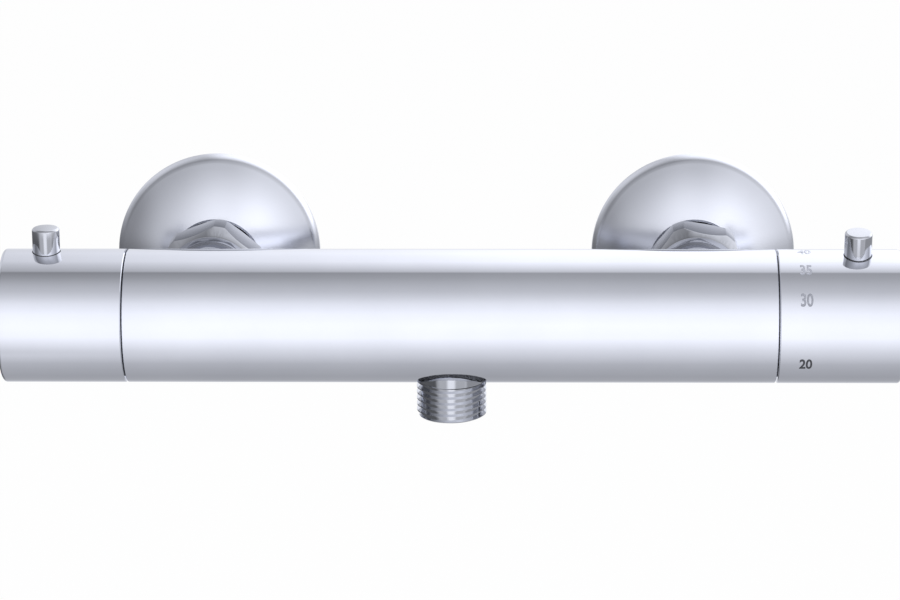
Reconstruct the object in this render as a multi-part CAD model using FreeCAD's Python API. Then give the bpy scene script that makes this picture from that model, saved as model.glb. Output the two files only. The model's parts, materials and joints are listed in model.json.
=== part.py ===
import FreeCAD
import Part
import math
import os

from FreeCAD import Vector

# Thermostatic bar valve for a shower, in millimetres. +X runs along the bar to the right, seen from the
# front, +Y runs into the wall and +Z is up. The origin lies in the wall plane, midway between the inlets.

# Whole valve
INLET_PITCH = 150.0
WALL_TO_BAR = 68.5
BAR_R = 20.0
BODY_HALF = 96.8
SEAM = 0.4
HANDLE_LENGTH = 36.8

# Fits
RUN_FIT = 0.05
SEAT_FIT = 0.1
FREE_GAP = 0.3

# Shaping: how far a cutting shape runs past its piece, and how close two equal lengths are
CUT_PAST = 1.0
SAME_LENGTH = 0.01

# Threads: parallel pipe threads, with the crests cut a little flat
HALF_INCH_R = 10.4775
HALF_INCH_PITCH = 1.814
HALF_INCH_DEPTH = 1.162
HALF_INCH_ROOT_R = HALF_INCH_R - HALF_INCH_DEPTH
THREE_QUARTER_R = 13.2205
CREST_FLAT = 0.3
ROOT_FLAT = 0.2

# Waterways in the bar
CHAMBER_R = 6.2
HOT_CHANNEL_R = 3.0
HOT_CHANNEL_OFFSET = 14.5
OUTLET_CHANNEL_R = 2.6
OUTLET_CHANNEL_OFFSET = 10.8

# Bar ends: neck, mouth thread and the seat that the cartridge flanges rest on
NECK_R = 16.0
NECK_LENGTH = 4.0
MOUTH_R = 14.0
SEAT_DEPTH = 10.8
CARTRIDGE_FLANGE = 2.0
SEAM_CHAMFER = 0.25

# Cartridge nuts
NUT_HEAD_FLATS = 25.0
NUT_HEAD_LENGTH = 4.2
NOSE_R = 8.9
NOSE_LENGTH = 20.0

# Stop rings and lugs
STOP_RING_LENGTH = 3.6
STOP_BLOCK_LENGTH = 3.6
STOP_BLOCK_ANGLE = 14.0
LUG_ANGLE = 12.0
LUG_LENGTH = 3.0
LUG_MARGIN = 0.8

# Handles
HANDLE_WALL = 1.8
HANDLE_END_WALL = 2.0
HANDLE_END_DEPTH = 6.0
HANDLE_EDGE_R = 1.0
CAP_RECESS_R = 18.5
CAP_THICKNESS = 1.4
CAP_SKIRT_WALL = 0.8
CAP_SKIRT_LENGTH = 1.4
HUB_WALL = 2.0
HUB_LENGTH = 10.0
ADAPTER_R = 9.0
GRIP_PIN_R = 4.1
GRIP_PIN_PROUD = 7.3
GRIP_PIN_FROM_RIM = 23.6
GRIP_PIN_CHAMFER = 0.5
GRIP_SHANK_R = 2.5
GRIP_SEAT_DEPTH = 1.4
GRIP_BOSS_R = 6.0
GRIP_BOSS_DEPTH = 3.2
TEMP_PIN_TILT = 7.3
FLOW_RANGE = (0.0, 90.0)
TEMP_RANGE = (-118.0, 60.0)

# Handle screws
SCREW_R = 2.0
SCREW_HEAD_R = 4.2
SCREW_HEAD_LENGTH = 2.2
SCREW_KEY_FLATS = 2.5
SCREW_KEY_DEPTH = 1.5
SCREW_GRIP = 8.0

# Spindles, both sides
SPINDLE_R = 4.5
SPLINE_R = 4.0
SPLINE_DEPTH = 0.35
SPLINE_TOOTH_COUNT = 20
SPLINE_LENGTH = 9.8
SPINDLE_SEAL_DEPTH = 1.1
SPINDLE_SEAL_FROM_SEAT = 10.0
COLLAR_LENGTH = 2.0
COLLAR_FLOAT = 0.1

# Flow cartridge
FLOW_HOUSING_R = 9.4
FLOW_HOUSING_LENGTH = 36.0
FLOW_HOUSING_WALL = 1.0
FLOW_CAVITY_LENGTH = 14.0
FLOW_SEAL_LENGTH = 2.0
FLOW_SEAL_HOLE_R = 6.0
DISC_THICKNESS = 3.0
DISC_PORT_INNER_R = 2.5
DISC_PORT_OUTER_R = 6.5
DISC_PORT_ANGLE = 80.0
DISC_PORT_COUNT = 2
DOG_WIDTH = 6.0
DOG_THICKNESS = 2.5
FLOW_COLLAR_R = 6.0
FLOW_WINDOW_WIDTH = 6.0
FLOW_WINDOW_LENGTH = 5.0
FLOW_WINDOW_COUNT = 4
RING_GROOVE_R = 11.8

# Thermostatic cartridge, from its seat inwards
THERMO_R = 13.1
THERMO_NECK_R = 10.5
THERMO_BORE_R = 8.5
OUTER_LAND = 6.0
COLD_ZONE = 23.0
MIDDLE_LAND = 4.5
HOT_ZONE = 8.5
TAIL_LENGTH = 4.0
TAIL_R = 10.4
TAIL_LIP = 2.5
TAIL_HOLE_R = 5.2
PORT_LENGTH = 2.5
PORT_WIDTH = 5.0
PORT_COUNT = 4
FILTER_R = 11.3
FILTER_WALL = 0.3
FILTER_HOLE_R = 1.4
FILTER_ROW_COUNT = 5
FILTER_COLUMN_COUNT = 8
BORE_PAST_SEAT = 1.0
THERMO_COLLAR_R = 7.0
CLIP_THICKNESS = 0.8
CLIP_BAND = 2.2

# Thermostatic carriage
THREAD_LEAD = 6.0
SPOOL_LENGTH = 8.0
SPOOL_WALL = 1.3
WEB_THICKNESS = 2.0
WEB_HOLE_COUNT = 6
WEB_HOLE_R = 0.8
SPOOL_SEAL_DEPTH = 0.8
ELEMENT_R = 4.0
ELEMENT_LENGTH = 24.0
ELEMENT_FLANGE_R = 5.0
ELEMENT_FLANGE_LENGTH = 2.0
ELEMENT_NOSE_R = 3.0
ELEMENT_NOSE_LENGTH = 2.2
ROD_R = 1.5
REG_NUT_LENGTH = 17.0
REG_NUT_WALL = 1.3
REG_NUT_LIP = 1.5
REG_NUT_LIP_HOLE_R = 3.0
REG_NUT_END = 3.5
REG_THREAD_R = 3.0
REG_THREAD_LENGTH = 10.9
KEY_WIDTH = 2.0
KEY_HEIGHT = 0.8
CUP_HEAD_LENGTH = 2.0
CUP_SPIGOT_R = 3.5
CUP_SPIGOT_LENGTH = 2.5
OVERLOAD_WIRE_R = 0.7
OVERLOAD_COIL_R = 5.6
OVERLOAD_TURNS = 4.5
RETURN_WIRE_R = 0.45
RETURN_COIL_R = 6.0
RETURN_TURNS = 5.5

# Inlet bosses, tails and union nuts, by distance behind the bar's axis
BOSS_R = 12.0
BOSS_END = 32.4
BOSS_CHAMFER = 0.6
STEP_R = 11.2
STEP_LENGTH = 1.2
TAIL_PIPE_R = 10.2
TAIL_PIPE_END = 40.2
NUT_FLATS = 30.0
NUT_FRONT = 35.2
NUT_BACK = 48.6
NUT_CORNER_R = 16.4
NUT_FACE_R = 14.2
NUT_TAPER_LENGTH = 4.2
NUT_BACK_R = 14.8
NUT_BACK_CHAMFER = 0.9
NUT_MOUTH_R = 12.6
NUT_MOUTH_DEPTH = 1.5
NUT_LIP = 3.0
HOT_NUT_TURN = 81.0
COLD_NUT_TURN = 50.0
SNAP_RING_THICKNESS = 1.2
SNAP_RING_DEPTH = 0.8
SNAP_RING_PROUD = 2.0
SNAP_RING_GAP_ANGLE = 30.0
WASHER_THICKNESS = 2.0
WASHER_HOLE_R = 8.2
STRAINER_THICKNESS = 0.5
STRAINER_HOLE_R = 0.9
STRAINER_RING_COUNT = 2
STRAINER_FIRST_RING_COUNT = 6

# Check valves
CHECK_BORE_R = 7.6
CHECK_BORE_START = 26.0
CHECK_WALL = 1.2
CHECK_RECESS = 0.2
CHECK_SEAT_LENGTH = 2.5
CHECK_SEAT_HOLE_R = 4.5
CHECK_GUIDE_LENGTH = 2.2
CHECK_GUIDE_HOLE_COUNT = 4
CHECK_GUIDE_HOLE_R = 1.3
POPPET_R = 5.6
POPPET_THICKNESS = 2.2
POPPET_STEM_R = 1.5
POPPET_STEM_PAST_GUIDE = 1.5
CHECK_WIRE_R = 0.4
CHECK_COIL_R = 2.1
CHECK_TURNS = 4.5
INLET_BORE_R = 6.0
HOT_BORE_BOTTOM = 12.0
COLD_BORE_BOTTOM = 9.0

# Wall unions and dome flanges
UNION_BORE_R = 7.5
UNION_KEY_FLATS = 12.0
UNION_KEY_START = 56.0
UNION_KEY_LENGTH = 10.0
WALL_BORE_R = 7.0
WALL_THREAD_COUNT = 7
DOME_R = 32.0
DOME_DEPTH = 13.3
DOME_LAND_R = 14.2
DOME_ROLL_R = 5.3
DOME_LIP = 0.6
DOME_WALL = 1.2
DOME_HOLE_GAP = 0.4
FLANGE_RING_WIRE_R = 0.7
FLANGE_RING_GAP = 0.2

# Outlet, by depth below the bar's axis
OUTLET_SPIGOT_R = 8.5
OUTLET_SEAT = 16.8
OUTLET_SPIGOT_LENGTH = 3.2
OUTLET_NECK_R = 10.3
OUTLET_NECK_END = 20.1
OUTLET_BOTTOM = 31.0
OUTLET_BORE_R = 7.0
OUTLET_THREAD_COUNT = 6
OUTLET_SEAL_DEPTH = 0.9

# Places worked out from the sizes above
BAR_Y = -WALL_TO_BAR
SEAT_X = BODY_HALF - SEAT_DEPTH
NECK_END_X = BODY_HALF + NECK_LENGTH
NUT_INNER_X = SEAT_X + CARTRIDGE_FLANGE
NOSE_END_X = NUT_INNER_X + NOSE_LENGTH
RIM_X = BODY_HALF + SEAM
HANDLE_END_X = RIM_X + HANDLE_LENGTH
END_WALL_X = HANDLE_END_X - HANDLE_END_DEPTH
HANDLE_BORE_R = BAR_R - HANDLE_WALL
CAP_INNER_X = HANDLE_END_X - CAP_THICKNESS
SPLINE_START_X = NOSE_END_X + COLLAR_FLOAT
SPINDLE_END_X = SPLINE_START_X + SPLINE_LENGTH
GRIP_X = RIM_X + GRIP_PIN_FROM_RIM
FLOW_HOUSING_END_X = SEAT_X - FLOW_HOUSING_LENGTH
FLOW_CAVITY_END_X = FLOW_HOUSING_END_X - FLOW_SEAL_LENGTH
FLOW_INNER_R = FLOW_HOUSING_R - FLOW_HOUSING_WALL
FLOW_SHOULDER_X = FLOW_HOUSING_END_X + FLOW_CAVITY_LENGTH
MOVING_DISC_X = FLOW_HOUSING_END_X + DISC_THICKNESS
DOG_X = MOVING_DISC_X + DISC_THICKNESS
THERMO_OUTER_X = SEAT_X - OUTER_LAND
THERMO_COLD_X = THERMO_OUTER_X - COLD_ZONE
THERMO_HOT_X = THERMO_COLD_X - MIDDLE_LAND
THERMO_TAIL_X = THERMO_HOT_X - HOT_ZONE
THERMO_END_X = THERMO_TAIL_X - TAIL_LENGTH
THERMO_BORE_START_X = THERMO_END_X + TAIL_LIP
THERMO_BORE_END_X = SEAT_X + BORE_PAST_SEAT
MM_PER_DEGREE = THREAD_LEAD / 360.0
COLD_TRAVEL = -TEMP_RANGE[0] * MM_PER_DEGREE
HOT_TRAVEL = TEMP_RANGE[1] * MM_PER_DEGREE
SPOOL_MIDDLE_X = THERMO_HOT_X + MIDDLE_LAND / 2
SPOOL_INNER_X = SPOOL_MIDDLE_X - SPOOL_LENGTH / 2
SPOOL_OUTER_X = SPOOL_MIDDLE_X + SPOOL_LENGTH / 2
WEB_INNER_X = SPOOL_MIDDLE_X - WEB_THICKNESS / 2
WEB_OUTER_X = SPOOL_MIDDLE_X + WEB_THICKNESS / 2
SPOOL_R = THERMO_BORE_R - RUN_FIT
COLLAR_OUTER_X = THERMO_BORE_END_X - COLLAR_FLOAT
COLLAR_INNER_X = COLLAR_OUTER_X - COLLAR_LENGTH
CLIP_INNER_X = COLLAR_INNER_X - COLLAR_FLOAT - CLIP_THICKNESS
REG_NUT_OUTER_X = CLIP_INNER_X - HOT_TRAVEL - FREE_GAP
REG_NUT_INNER_X = REG_NUT_OUTER_X - REG_NUT_LENGTH
CUP_X = REG_NUT_INNER_X + REG_NUT_LIP
CUP_BACK_X = CUP_X + CUP_HEAD_LENGTH
REG_NUT_FLOOR_X = REG_NUT_OUTER_X - REG_NUT_END
INLET_X = INLET_PITCH / 2
TAIL_GROOVE = NUT_FRONT + NUT_LIP + SEAT_FIT
UNION_FRONT = TAIL_PIPE_END + WASHER_THICKNESS
CHECK_END = TAIL_PIPE_END - CHECK_RECESS
POPPET_BACK = CHECK_END - CHECK_SEAT_LENGTH
POPPET_FRONT = POPPET_BACK - POPPET_THICKNESS
GUIDE_BACK = CHECK_BORE_START + CHECK_GUIDE_LENGTH
DOME_FRONT = WALL_TO_BAR - DOME_DEPTH
WALL_THREAD_END = WALL_TO_BAR + WALL_THREAD_COUNT * HALF_INCH_PITCH + CREST_FLAT
LEFT = -1
RIGHT = 1


def positive(shape):
    """The same shape with its faces pointing outwards."""
    if shape.Volume < 0:
        shape = shape.reversed()
    return shape


def turned(points, at, along, across):
    """A solid turned from a closed outline of (place along the axis, radius) points."""
    corners = [at + along * place + across * radius for place, radius in points]
    face = Part.Face(Part.makePolygon(corners + corners[:1]))
    return positive(face.revolve(at, along, 360))


def turned_x(points, side=RIGHT):
    """A solid turned about the bar's axis, by distance from the bar's middle towards one side."""
    return turned(points, Vector(0, BAR_Y, 0), Vector(side, 0, 0), Vector(0, 0, 1))


def turned_y(points, x):
    """A solid turned about an inlet's axis, by distance behind the bar's axis."""
    return turned(points, Vector(x, BAR_Y, 0), Vector(0, 1, 0), Vector(1, 0, 0))


def turned_z(points):
    """A solid turned about the outlet's axis, by depth below the bar's axis."""
    return turned(points, Vector(0, BAR_Y, 0), Vector(0, 0, -1), Vector(1, 0, 0))


def ring(start, end, inner, outer):
    """The outline of a plain ring, or of a plain rod where its inner radius is 0."""
    return [(start, inner), (start, outer), (end, outer), (end, inner)]


def prism(across_flats, sides, start, end, at, along, across, turn=0.0):
    """A prism of even sides around an axis, with a corner at the angle turn from across."""
    corner_r = across_flats / 2 / math.cos(math.pi / sides)
    third = along.cross(across)
    corners = []
    for i in range(sides):
        angle = math.radians(turn) + 2 * math.pi * i / sides
        corners.append(at + along * start + (across * math.cos(angle) + third * math.sin(angle)) * corner_r)
    face = Part.Face(Part.makePolygon(corners + corners[:1]))
    return positive(face.extrude(along * (end - start)))


def sector_x(side, start, end, inner, outer, first, last):
    """A piece of a ring about the bar's axis between two angles from the top towards the front."""
    across = Vector(0, -math.sin(math.radians(first)), math.cos(math.radians(first)))
    at = Vector(0, BAR_Y, 0)
    outline = ring(start, end, inner, outer)
    corners = [at + Vector(side * place, 0, 0) + across * radius for place, radius in outline]
    face = Part.Face(Part.makePolygon(corners + corners[:1]))
    return positive(face.revolve(at, Vector(1, 0, 0), last - first))


def about_bar(shape, angle):
    """The shape turned about the bar's axis, from the top towards the front."""
    copy = shape.copy()
    copy.rotate(Vector(0, BAR_Y, 0), Vector(1, 0, 0), angle)
    return copy


def around(shape, at, axis, count):
    """Copies of a shape, evenly spaced around an axis."""
    copies = []
    for i in range(count):
        copy = shape.copy()
        copy.rotate(at, axis, 360.0 * i / count)
        copies.append(copy)
    return copies


def half_inch_thread(start, count):
    """The outline along a row of half-inch thread ridges, from the first root to the last one."""
    flank = (HALF_INCH_PITCH - CREST_FLAT - ROOT_FLAT) / 2
    points = []
    for i in range(count):
        root = start + i * HALF_INCH_PITCH
        points.append((root, HALF_INCH_ROOT_R))
        points.append((root + flank, HALF_INCH_R))
        points.append((root + flank + CREST_FLAT, HALF_INCH_R))
        points.append((root + 2 * flank + CREST_FLAT, HALF_INCH_ROOT_R))
    return points


def tangent_arc(start, corner, end):
    """The arc from start to end whose end tangents meet at corner."""
    chord_middle = (start + end) / 2
    chord = end - start
    half_turn = (corner - start).getAngle(chord)
    rise = chord.Length / 2 * math.tan(half_turn / 2)
    outwards = (corner - chord_middle).normalize()
    return Part.Arc(start, chord_middle + outwards * rise, end).toShape()


def coil_path(coil_r, height, turns):
    """A helix about Z as pairs of arcs, each pair a quarter turn and tangent to the next."""
    quarters = round(4 * turns)
    rise_rate = height / (2 * math.pi * turns)

    def at_quarter(i):
        angle = i * math.pi / 2
        place = Vector(coil_r * math.cos(angle), coil_r * math.sin(angle), rise_rate * angle)
        heading = Vector(-coil_r * math.sin(angle), coil_r * math.cos(angle), rise_rate).normalize()
        return place, heading

    edges = []
    for i in range(quarters):
        start, leaving = at_quarter(i)
        end, arriving = at_quarter(i + 1)
        across = end - start
        both = leaving + arriving
        spread = 2 * (1 - leaving.dot(arriving))
        reach = (math.sqrt(across.dot(both) ** 2 + spread * across.dot(across)) - across.dot(both)) / spread
        first_corner = start + leaving * reach
        second_corner = end - arriving * reach
        middle = (first_corner + second_corner) / 2
        edges.append(tangent_arc(start, first_corner, middle))
        edges.append(tangent_arc(middle, second_corner, end))
    return Part.Wire(edges), at_quarter(0)


def coil(wire_r, coil_r, start, end, turns, at, along):
    """A compression spring of round wire between two seats, as one unbroken tube."""
    height = end - start - 2 * wire_r
    path, (first, heading) = coil_path(coil_r, height, turns)
    section = Part.Wire([Part.makeCircle(wire_r, first, heading)])
    spring = path.makePipeShell([section], True, False)
    turn = FreeCAD.Rotation(Vector(0, 0, 1), along)
    spring.Placement = FreeCAD.Placement(at + along * (start + wire_r), turn)
    return positive(spring)


def torus_about(at, along, ring_r, wire_r):
    """An O-ring around an axis."""
    return Part.makeTorus(ring_r, wire_r, at, along)


def o_ring_x(side, x, inner_r, outer_r):
    """An O-ring about the bar's axis between a groove's floor and the bore that it seals."""
    wire_r = (outer_r - inner_r) / 2
    return torus_about(Vector(side * x, BAR_Y, 0), Vector(1, 0, 0), inner_r + wire_r, wire_r)


def groove_x(side, x, floor_r, outer_r):
    """The ring of material that an O-ring's groove takes out of a turned piece."""
    half = (outer_r - floor_r) / 2 + SEAT_FIT
    return turned_x(ring(x - half, x + half, floor_r, outer_r + CUT_PAST), side)


# ---------------------------------------------------------------- the bar


def inlet_boss(x, bore_bottom):
    """The outside and the waterway of one inlet boss with its tail."""
    groove_start = TAIL_GROOVE
    groove_end = TAIL_GROOVE + SNAP_RING_THICKNESS + SEAT_FIT
    groove_r = TAIL_PIPE_R - SNAP_RING_DEPTH
    boss = turned_y([
        (0, 0),
        (0, BOSS_R),
        (BOSS_END - BOSS_CHAMFER, BOSS_R),
        (BOSS_END, BOSS_R - BOSS_CHAMFER),
        (BOSS_END, STEP_R),
        (BOSS_END + STEP_LENGTH, STEP_R),
        (BOSS_END + STEP_LENGTH, TAIL_PIPE_R),
        (groove_start, TAIL_PIPE_R),
        (groove_start, groove_r),
        (groove_end, groove_r),
        (groove_end, TAIL_PIPE_R),
        (TAIL_PIPE_END, TAIL_PIPE_R),
        (TAIL_PIPE_END, 0),
    ], x)
    waterway = turned_y([
        (bore_bottom, 0),
        (bore_bottom, INLET_BORE_R),
        (CHECK_BORE_START, INLET_BORE_R),
        (CHECK_BORE_START, CHECK_BORE_R),
        (TAIL_PIPE_END + CUT_PAST, CHECK_BORE_R),
        (TAIL_PIPE_END + CUT_PAST, 0),
    ], x)
    return boss, waterway


def valve_body():
    """The bar itself, bored for both cartridges, with its channels, inlets and outlet seat."""
    body = turned_x([
        (-NECK_END_X, 0),
        (-NECK_END_X, NECK_R),
        (-BODY_HALF, NECK_R),
        (-BODY_HALF, BAR_R - SEAM_CHAMFER),
        (SEAM_CHAMFER - BODY_HALF, BAR_R),
        (BODY_HALF - SEAM_CHAMFER, BAR_R),
        (BODY_HALF, BAR_R - SEAM_CHAMFER),
        (BODY_HALF, NECK_R),
        (NECK_END_X, NECK_R),
        (NECK_END_X, 0),
    ])
    hot_boss, hot_waterway = inlet_boss(-INLET_X, HOT_BORE_BOTTOM)
    cold_boss, cold_waterway = inlet_boss(INLET_X, COLD_BORE_BOTTOM)
    body = body.fuse([hot_boss, cold_boss]).removeSplitter()
    flow_cavity = turned_x([
        (FLOW_CAVITY_END_X, 0),
        (FLOW_CAVITY_END_X, FLOW_HOUSING_R + SEAT_FIT),
        (DOG_X, FLOW_HOUSING_R + SEAT_FIT),
        (DOG_X, RING_GROOVE_R),
        (DOG_X + FLOW_WINDOW_LENGTH, RING_GROOVE_R),
        (DOG_X + FLOW_WINDOW_LENGTH, FLOW_HOUSING_R + SEAT_FIT),
        (SEAT_X, FLOW_HOUSING_R + SEAT_FIT),
        (SEAT_X, MOUTH_R),
        (NECK_END_X + CUT_PAST, MOUTH_R),
        (NECK_END_X + CUT_PAST, 0),
    ], LEFT)
    thermo_cavity = turned_x([
        (THERMO_END_X - SEAT_FIT, 0),
        (THERMO_END_X - SEAT_FIT, TAIL_R + SEAT_FIT),
        (THERMO_TAIL_X, TAIL_R + SEAT_FIT),
        (THERMO_TAIL_X, THERMO_R + SEAT_FIT),
        (SEAT_X, THERMO_R + SEAT_FIT),
        (SEAT_X, MOUTH_R),
        (NECK_END_X + CUT_PAST, MOUTH_R),
        (NECK_END_X + CUT_PAST, 0),
    ], RIGHT)
    chamber = turned_x(ring(-FLOW_CAVITY_END_X - CUT_PAST, THERMO_END_X, 0, CHAMBER_R))
    hot_channel = Part.makeCylinder(
        HOT_CHANNEL_R,
        INLET_X + (THERMO_TAIL_X + THERMO_HOT_X) / 2,
        Vector(-INLET_X, BAR_Y + HOT_CHANNEL_OFFSET, 0),
        Vector(1, 0, 0),
    )
    outlet_channel = Part.makeCylinder(
        OUTLET_CHANNEL_R,
        DOG_X + FLOW_WINDOW_LENGTH / 2,
        Vector(0, BAR_Y, -OUTLET_CHANNEL_OFFSET),
        Vector(-1, 0, 0),
    )
    bore_top = OUTLET_CHANNEL_OFFSET - OUTLET_CHANNEL_R - FREE_GAP
    outlet_bore = turned_z([
        (bore_top, 0),
        (bore_top, OUTLET_BORE_R),
        (OUTLET_SEAT - OUTLET_SPIGOT_LENGTH, OUTLET_BORE_R),
        (OUTLET_SEAT - OUTLET_SPIGOT_LENGTH, OUTLET_SPIGOT_R),
        (OUTLET_SEAT, OUTLET_SPIGOT_R),
        (OUTLET_SEAT, HALF_INCH_R + RUN_FIT),
        (BAR_R + CUT_PAST, HALF_INCH_R + RUN_FIT),
        (BAR_R + CUT_PAST, 0),
    ])
    cavities = [flow_cavity, thermo_cavity, chamber]
    channels = [hot_channel, outlet_channel, outlet_bore, hot_waterway, cold_waterway]
    return body.cut(cavities + channels)


def outlet_nipple():
    """The threaded outlet, screwed into the bar's underside."""
    spigot_top = OUTLET_SEAT - OUTLET_SPIGOT_LENGTH
    seal_start = OUTLET_SEAT - 2 * OUTLET_SEAL_DEPTH - SEAT_FIT
    points = [
        (spigot_top, OUTLET_BORE_R),
        (spigot_top, OUTLET_SPIGOT_R),
        (seal_start, OUTLET_SPIGOT_R),
        (seal_start, OUTLET_SPIGOT_R - OUTLET_SEAL_DEPTH),
        (OUTLET_SEAT, OUTLET_SPIGOT_R - OUTLET_SEAL_DEPTH),
        (OUTLET_SEAT, OUTLET_NECK_R),
        (OUTLET_NECK_END, OUTLET_NECK_R),
    ]
    points += half_inch_thread(OUTLET_NECK_END, OUTLET_THREAD_COUNT)
    points += [
        (OUTLET_BOTTOM, HALF_INCH_ROOT_R),
        (OUTLET_BOTTOM, OUTLET_BORE_R),
    ]
    return turned_z(points)


def outlet_o_ring():
    """The ring that seals the outlet's spigot under its neck."""
    wire_r = OUTLET_SEAL_DEPTH / 2
    at = Vector(0, BAR_Y, -(OUTLET_SEAT - OUTLET_SEAL_DEPTH))
    return torus_about(at, Vector(0, 0, 1), OUTLET_SPIGOT_R - wire_r, wire_r)


# ---------------------------------------------------------------- the inlets


def union_nut(x, turn):
    """The hexagon union nut: corners turned down, tapered to the lip in front, the thread's bore behind."""
    at = Vector(x, BAR_Y, 0)
    hexagon = prism(NUT_FLATS, 6, NUT_FRONT, NUT_BACK, at, Vector(0, 1, 0), Vector(1, 0, 0), -turn)
    outside = turned_y([
        (NUT_FRONT, 0),
        (NUT_FRONT, NUT_FACE_R),
        (NUT_FRONT + NUT_TAPER_LENGTH, NUT_CORNER_R),
        (NUT_BACK - NUT_BACK_CHAMFER, NUT_CORNER_R),
        (NUT_BACK, NUT_BACK_R),
        (NUT_BACK, 0),
    ], x)
    lip_r = TAIL_PIPE_R + SEAT_FIT
    inside = turned_y([
        (NUT_FRONT - CUT_PAST, 0),
        (NUT_FRONT - CUT_PAST, NUT_MOUTH_R),
        (NUT_FRONT, NUT_MOUTH_R),
        (NUT_FRONT + NUT_MOUTH_DEPTH, lip_r),
        (NUT_FRONT + NUT_LIP, lip_r),
        (NUT_FRONT + NUT_LIP, THREE_QUARTER_R + SEAT_FIT),
        (NUT_BACK + CUT_PAST, THREE_QUARTER_R + SEAT_FIT),
        (NUT_BACK + CUT_PAST, 0),
    ], x)
    return hexagon.common(outside).cut(inside)


def snap_ring(x):
    """The split ring in the tail's groove that keeps the union nut on."""
    inner_r = TAIL_PIPE_R - SNAP_RING_DEPTH
    outer_r = inner_r + SNAP_RING_PROUD + SNAP_RING_DEPTH
    start = TAIL_GROOVE
    corners = [
        Vector(x, BAR_Y, 0) + Vector(radius, place, 0)
        for place, radius in ring(start, start + SNAP_RING_THICKNESS, inner_r, outer_r)
    ]
    face = Part.Face(Part.makePolygon(corners + corners[:1]))
    return positive(face.revolve(Vector(x, BAR_Y, 0), Vector(0, 1, 0), 360 - SNAP_RING_GAP_ANGLE))


def inlet_washer(x):
    """The flat sealing washer between the tail and the wall union."""
    return turned_y(ring(TAIL_PIPE_END, UNION_FRONT, WASHER_HOLE_R, THREE_QUARTER_R - FREE_GAP), x)


def inlet_strainer(x):
    """The perforated strainer disc held in the washer's hole."""
    start = (TAIL_PIPE_END + UNION_FRONT - STRAINER_THICKNESS) / 2
    at = Vector(x, BAR_Y, 0)
    axis = Vector(0, 1, 0)
    disc = turned_y(ring(start, start + STRAINER_THICKNESS, 0, WASHER_HOLE_R), x)
    spacing = WASHER_HOLE_R / (STRAINER_RING_COUNT + 1)
    hole_start = Vector(x, BAR_Y + start - CUT_PAST, 0)
    hole_length = STRAINER_THICKNESS + 2 * CUT_PAST
    holes = [Part.makeCylinder(STRAINER_HOLE_R, hole_length, hole_start, axis)]
    for i in range(1, STRAINER_RING_COUNT + 1):
        outwards = Vector(i * spacing, 0, 0)
        hole = Part.makeCylinder(STRAINER_HOLE_R, hole_length, hole_start + outwards, axis)
        holes += around(hole, at, axis, STRAINER_FIRST_RING_COUNT * i)
    return disc.cut(holes)


def check_housing(x):
    """The check valve's cage: a seat ring at the wall side and a guide at the bar side."""
    at = Vector(x, BAR_Y, 0)
    outer_r = CHECK_BORE_R - SEAT_FIT
    inner_r = outer_r - CHECK_WALL
    cage = turned_y([
        (CHECK_BORE_START, POPPET_STEM_R + RUN_FIT),
        (CHECK_BORE_START, outer_r),
        (CHECK_END, outer_r),
        (CHECK_END, CHECK_SEAT_HOLE_R),
        (POPPET_BACK, CHECK_SEAT_HOLE_R),
        (POPPET_BACK, inner_r),
        (GUIDE_BACK, inner_r),
        (GUIDE_BACK, POPPET_STEM_R + RUN_FIT),
    ], x)
    hole_place = (inner_r + POPPET_STEM_R) / 2
    hole_start = Vector(x + hole_place, BAR_Y + CHECK_BORE_START - CUT_PAST, 0)
    hole_length = CHECK_GUIDE_LENGTH + 2 * CUT_PAST
    hole = Part.makeCylinder(CHECK_GUIDE_HOLE_R, hole_length, hole_start, Vector(0, 1, 0))
    return cage.cut(around(hole, at, Vector(0, 1, 0), CHECK_GUIDE_HOLE_COUNT))


def check_poppet(x):
    """The check valve's disc and stem, closed on its seat."""
    return turned_y([
        (CHECK_BORE_START - POPPET_STEM_PAST_GUIDE, 0),
        (CHECK_BORE_START - POPPET_STEM_PAST_GUIDE, POPPET_STEM_R),
        (POPPET_FRONT, POPPET_STEM_R),
        (POPPET_FRONT, POPPET_R),
        (POPPET_BACK, POPPET_R),
        (POPPET_BACK, 0),
    ], x)


def check_spring(x):
    """The spring that closes the check valve."""
    return coil(
        CHECK_WIRE_R, CHECK_COIL_R, GUIDE_BACK, POPPET_FRONT, CHECK_TURNS,
        Vector(x, BAR_Y, 0), Vector(0, 1, 0),
    )


def wall_union(x):
    """The straight union from the union nut to the fitting in the wall."""
    bore_inside_key = UNION_KEY_FLATS / 2 - CUT_PAST
    points = [
        (UNION_FRONT, UNION_BORE_R),
        (UNION_FRONT, THREE_QUARTER_R),
        (WALL_TO_BAR, THREE_QUARTER_R),
    ]
    points += half_inch_thread(WALL_TO_BAR, WALL_THREAD_COUNT)
    points += [
        (WALL_THREAD_END, HALF_INCH_ROOT_R),
        (WALL_THREAD_END, WALL_BORE_R),
        (UNION_KEY_START + UNION_KEY_LENGTH, WALL_BORE_R),
        (UNION_KEY_START + UNION_KEY_LENGTH, bore_inside_key),
        (UNION_KEY_START, bore_inside_key),
        (UNION_KEY_START, UNION_BORE_R),
    ]
    key = prism(
        UNION_KEY_FLATS, 6, UNION_KEY_START - CUT_PAST, UNION_KEY_START + UNION_KEY_LENGTH + CUT_PAST,
        Vector(x, BAR_Y, 0), Vector(0, 1, 0), Vector(1, 0, 0),
    )
    return turned_y(points, x).cut(key)


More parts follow.
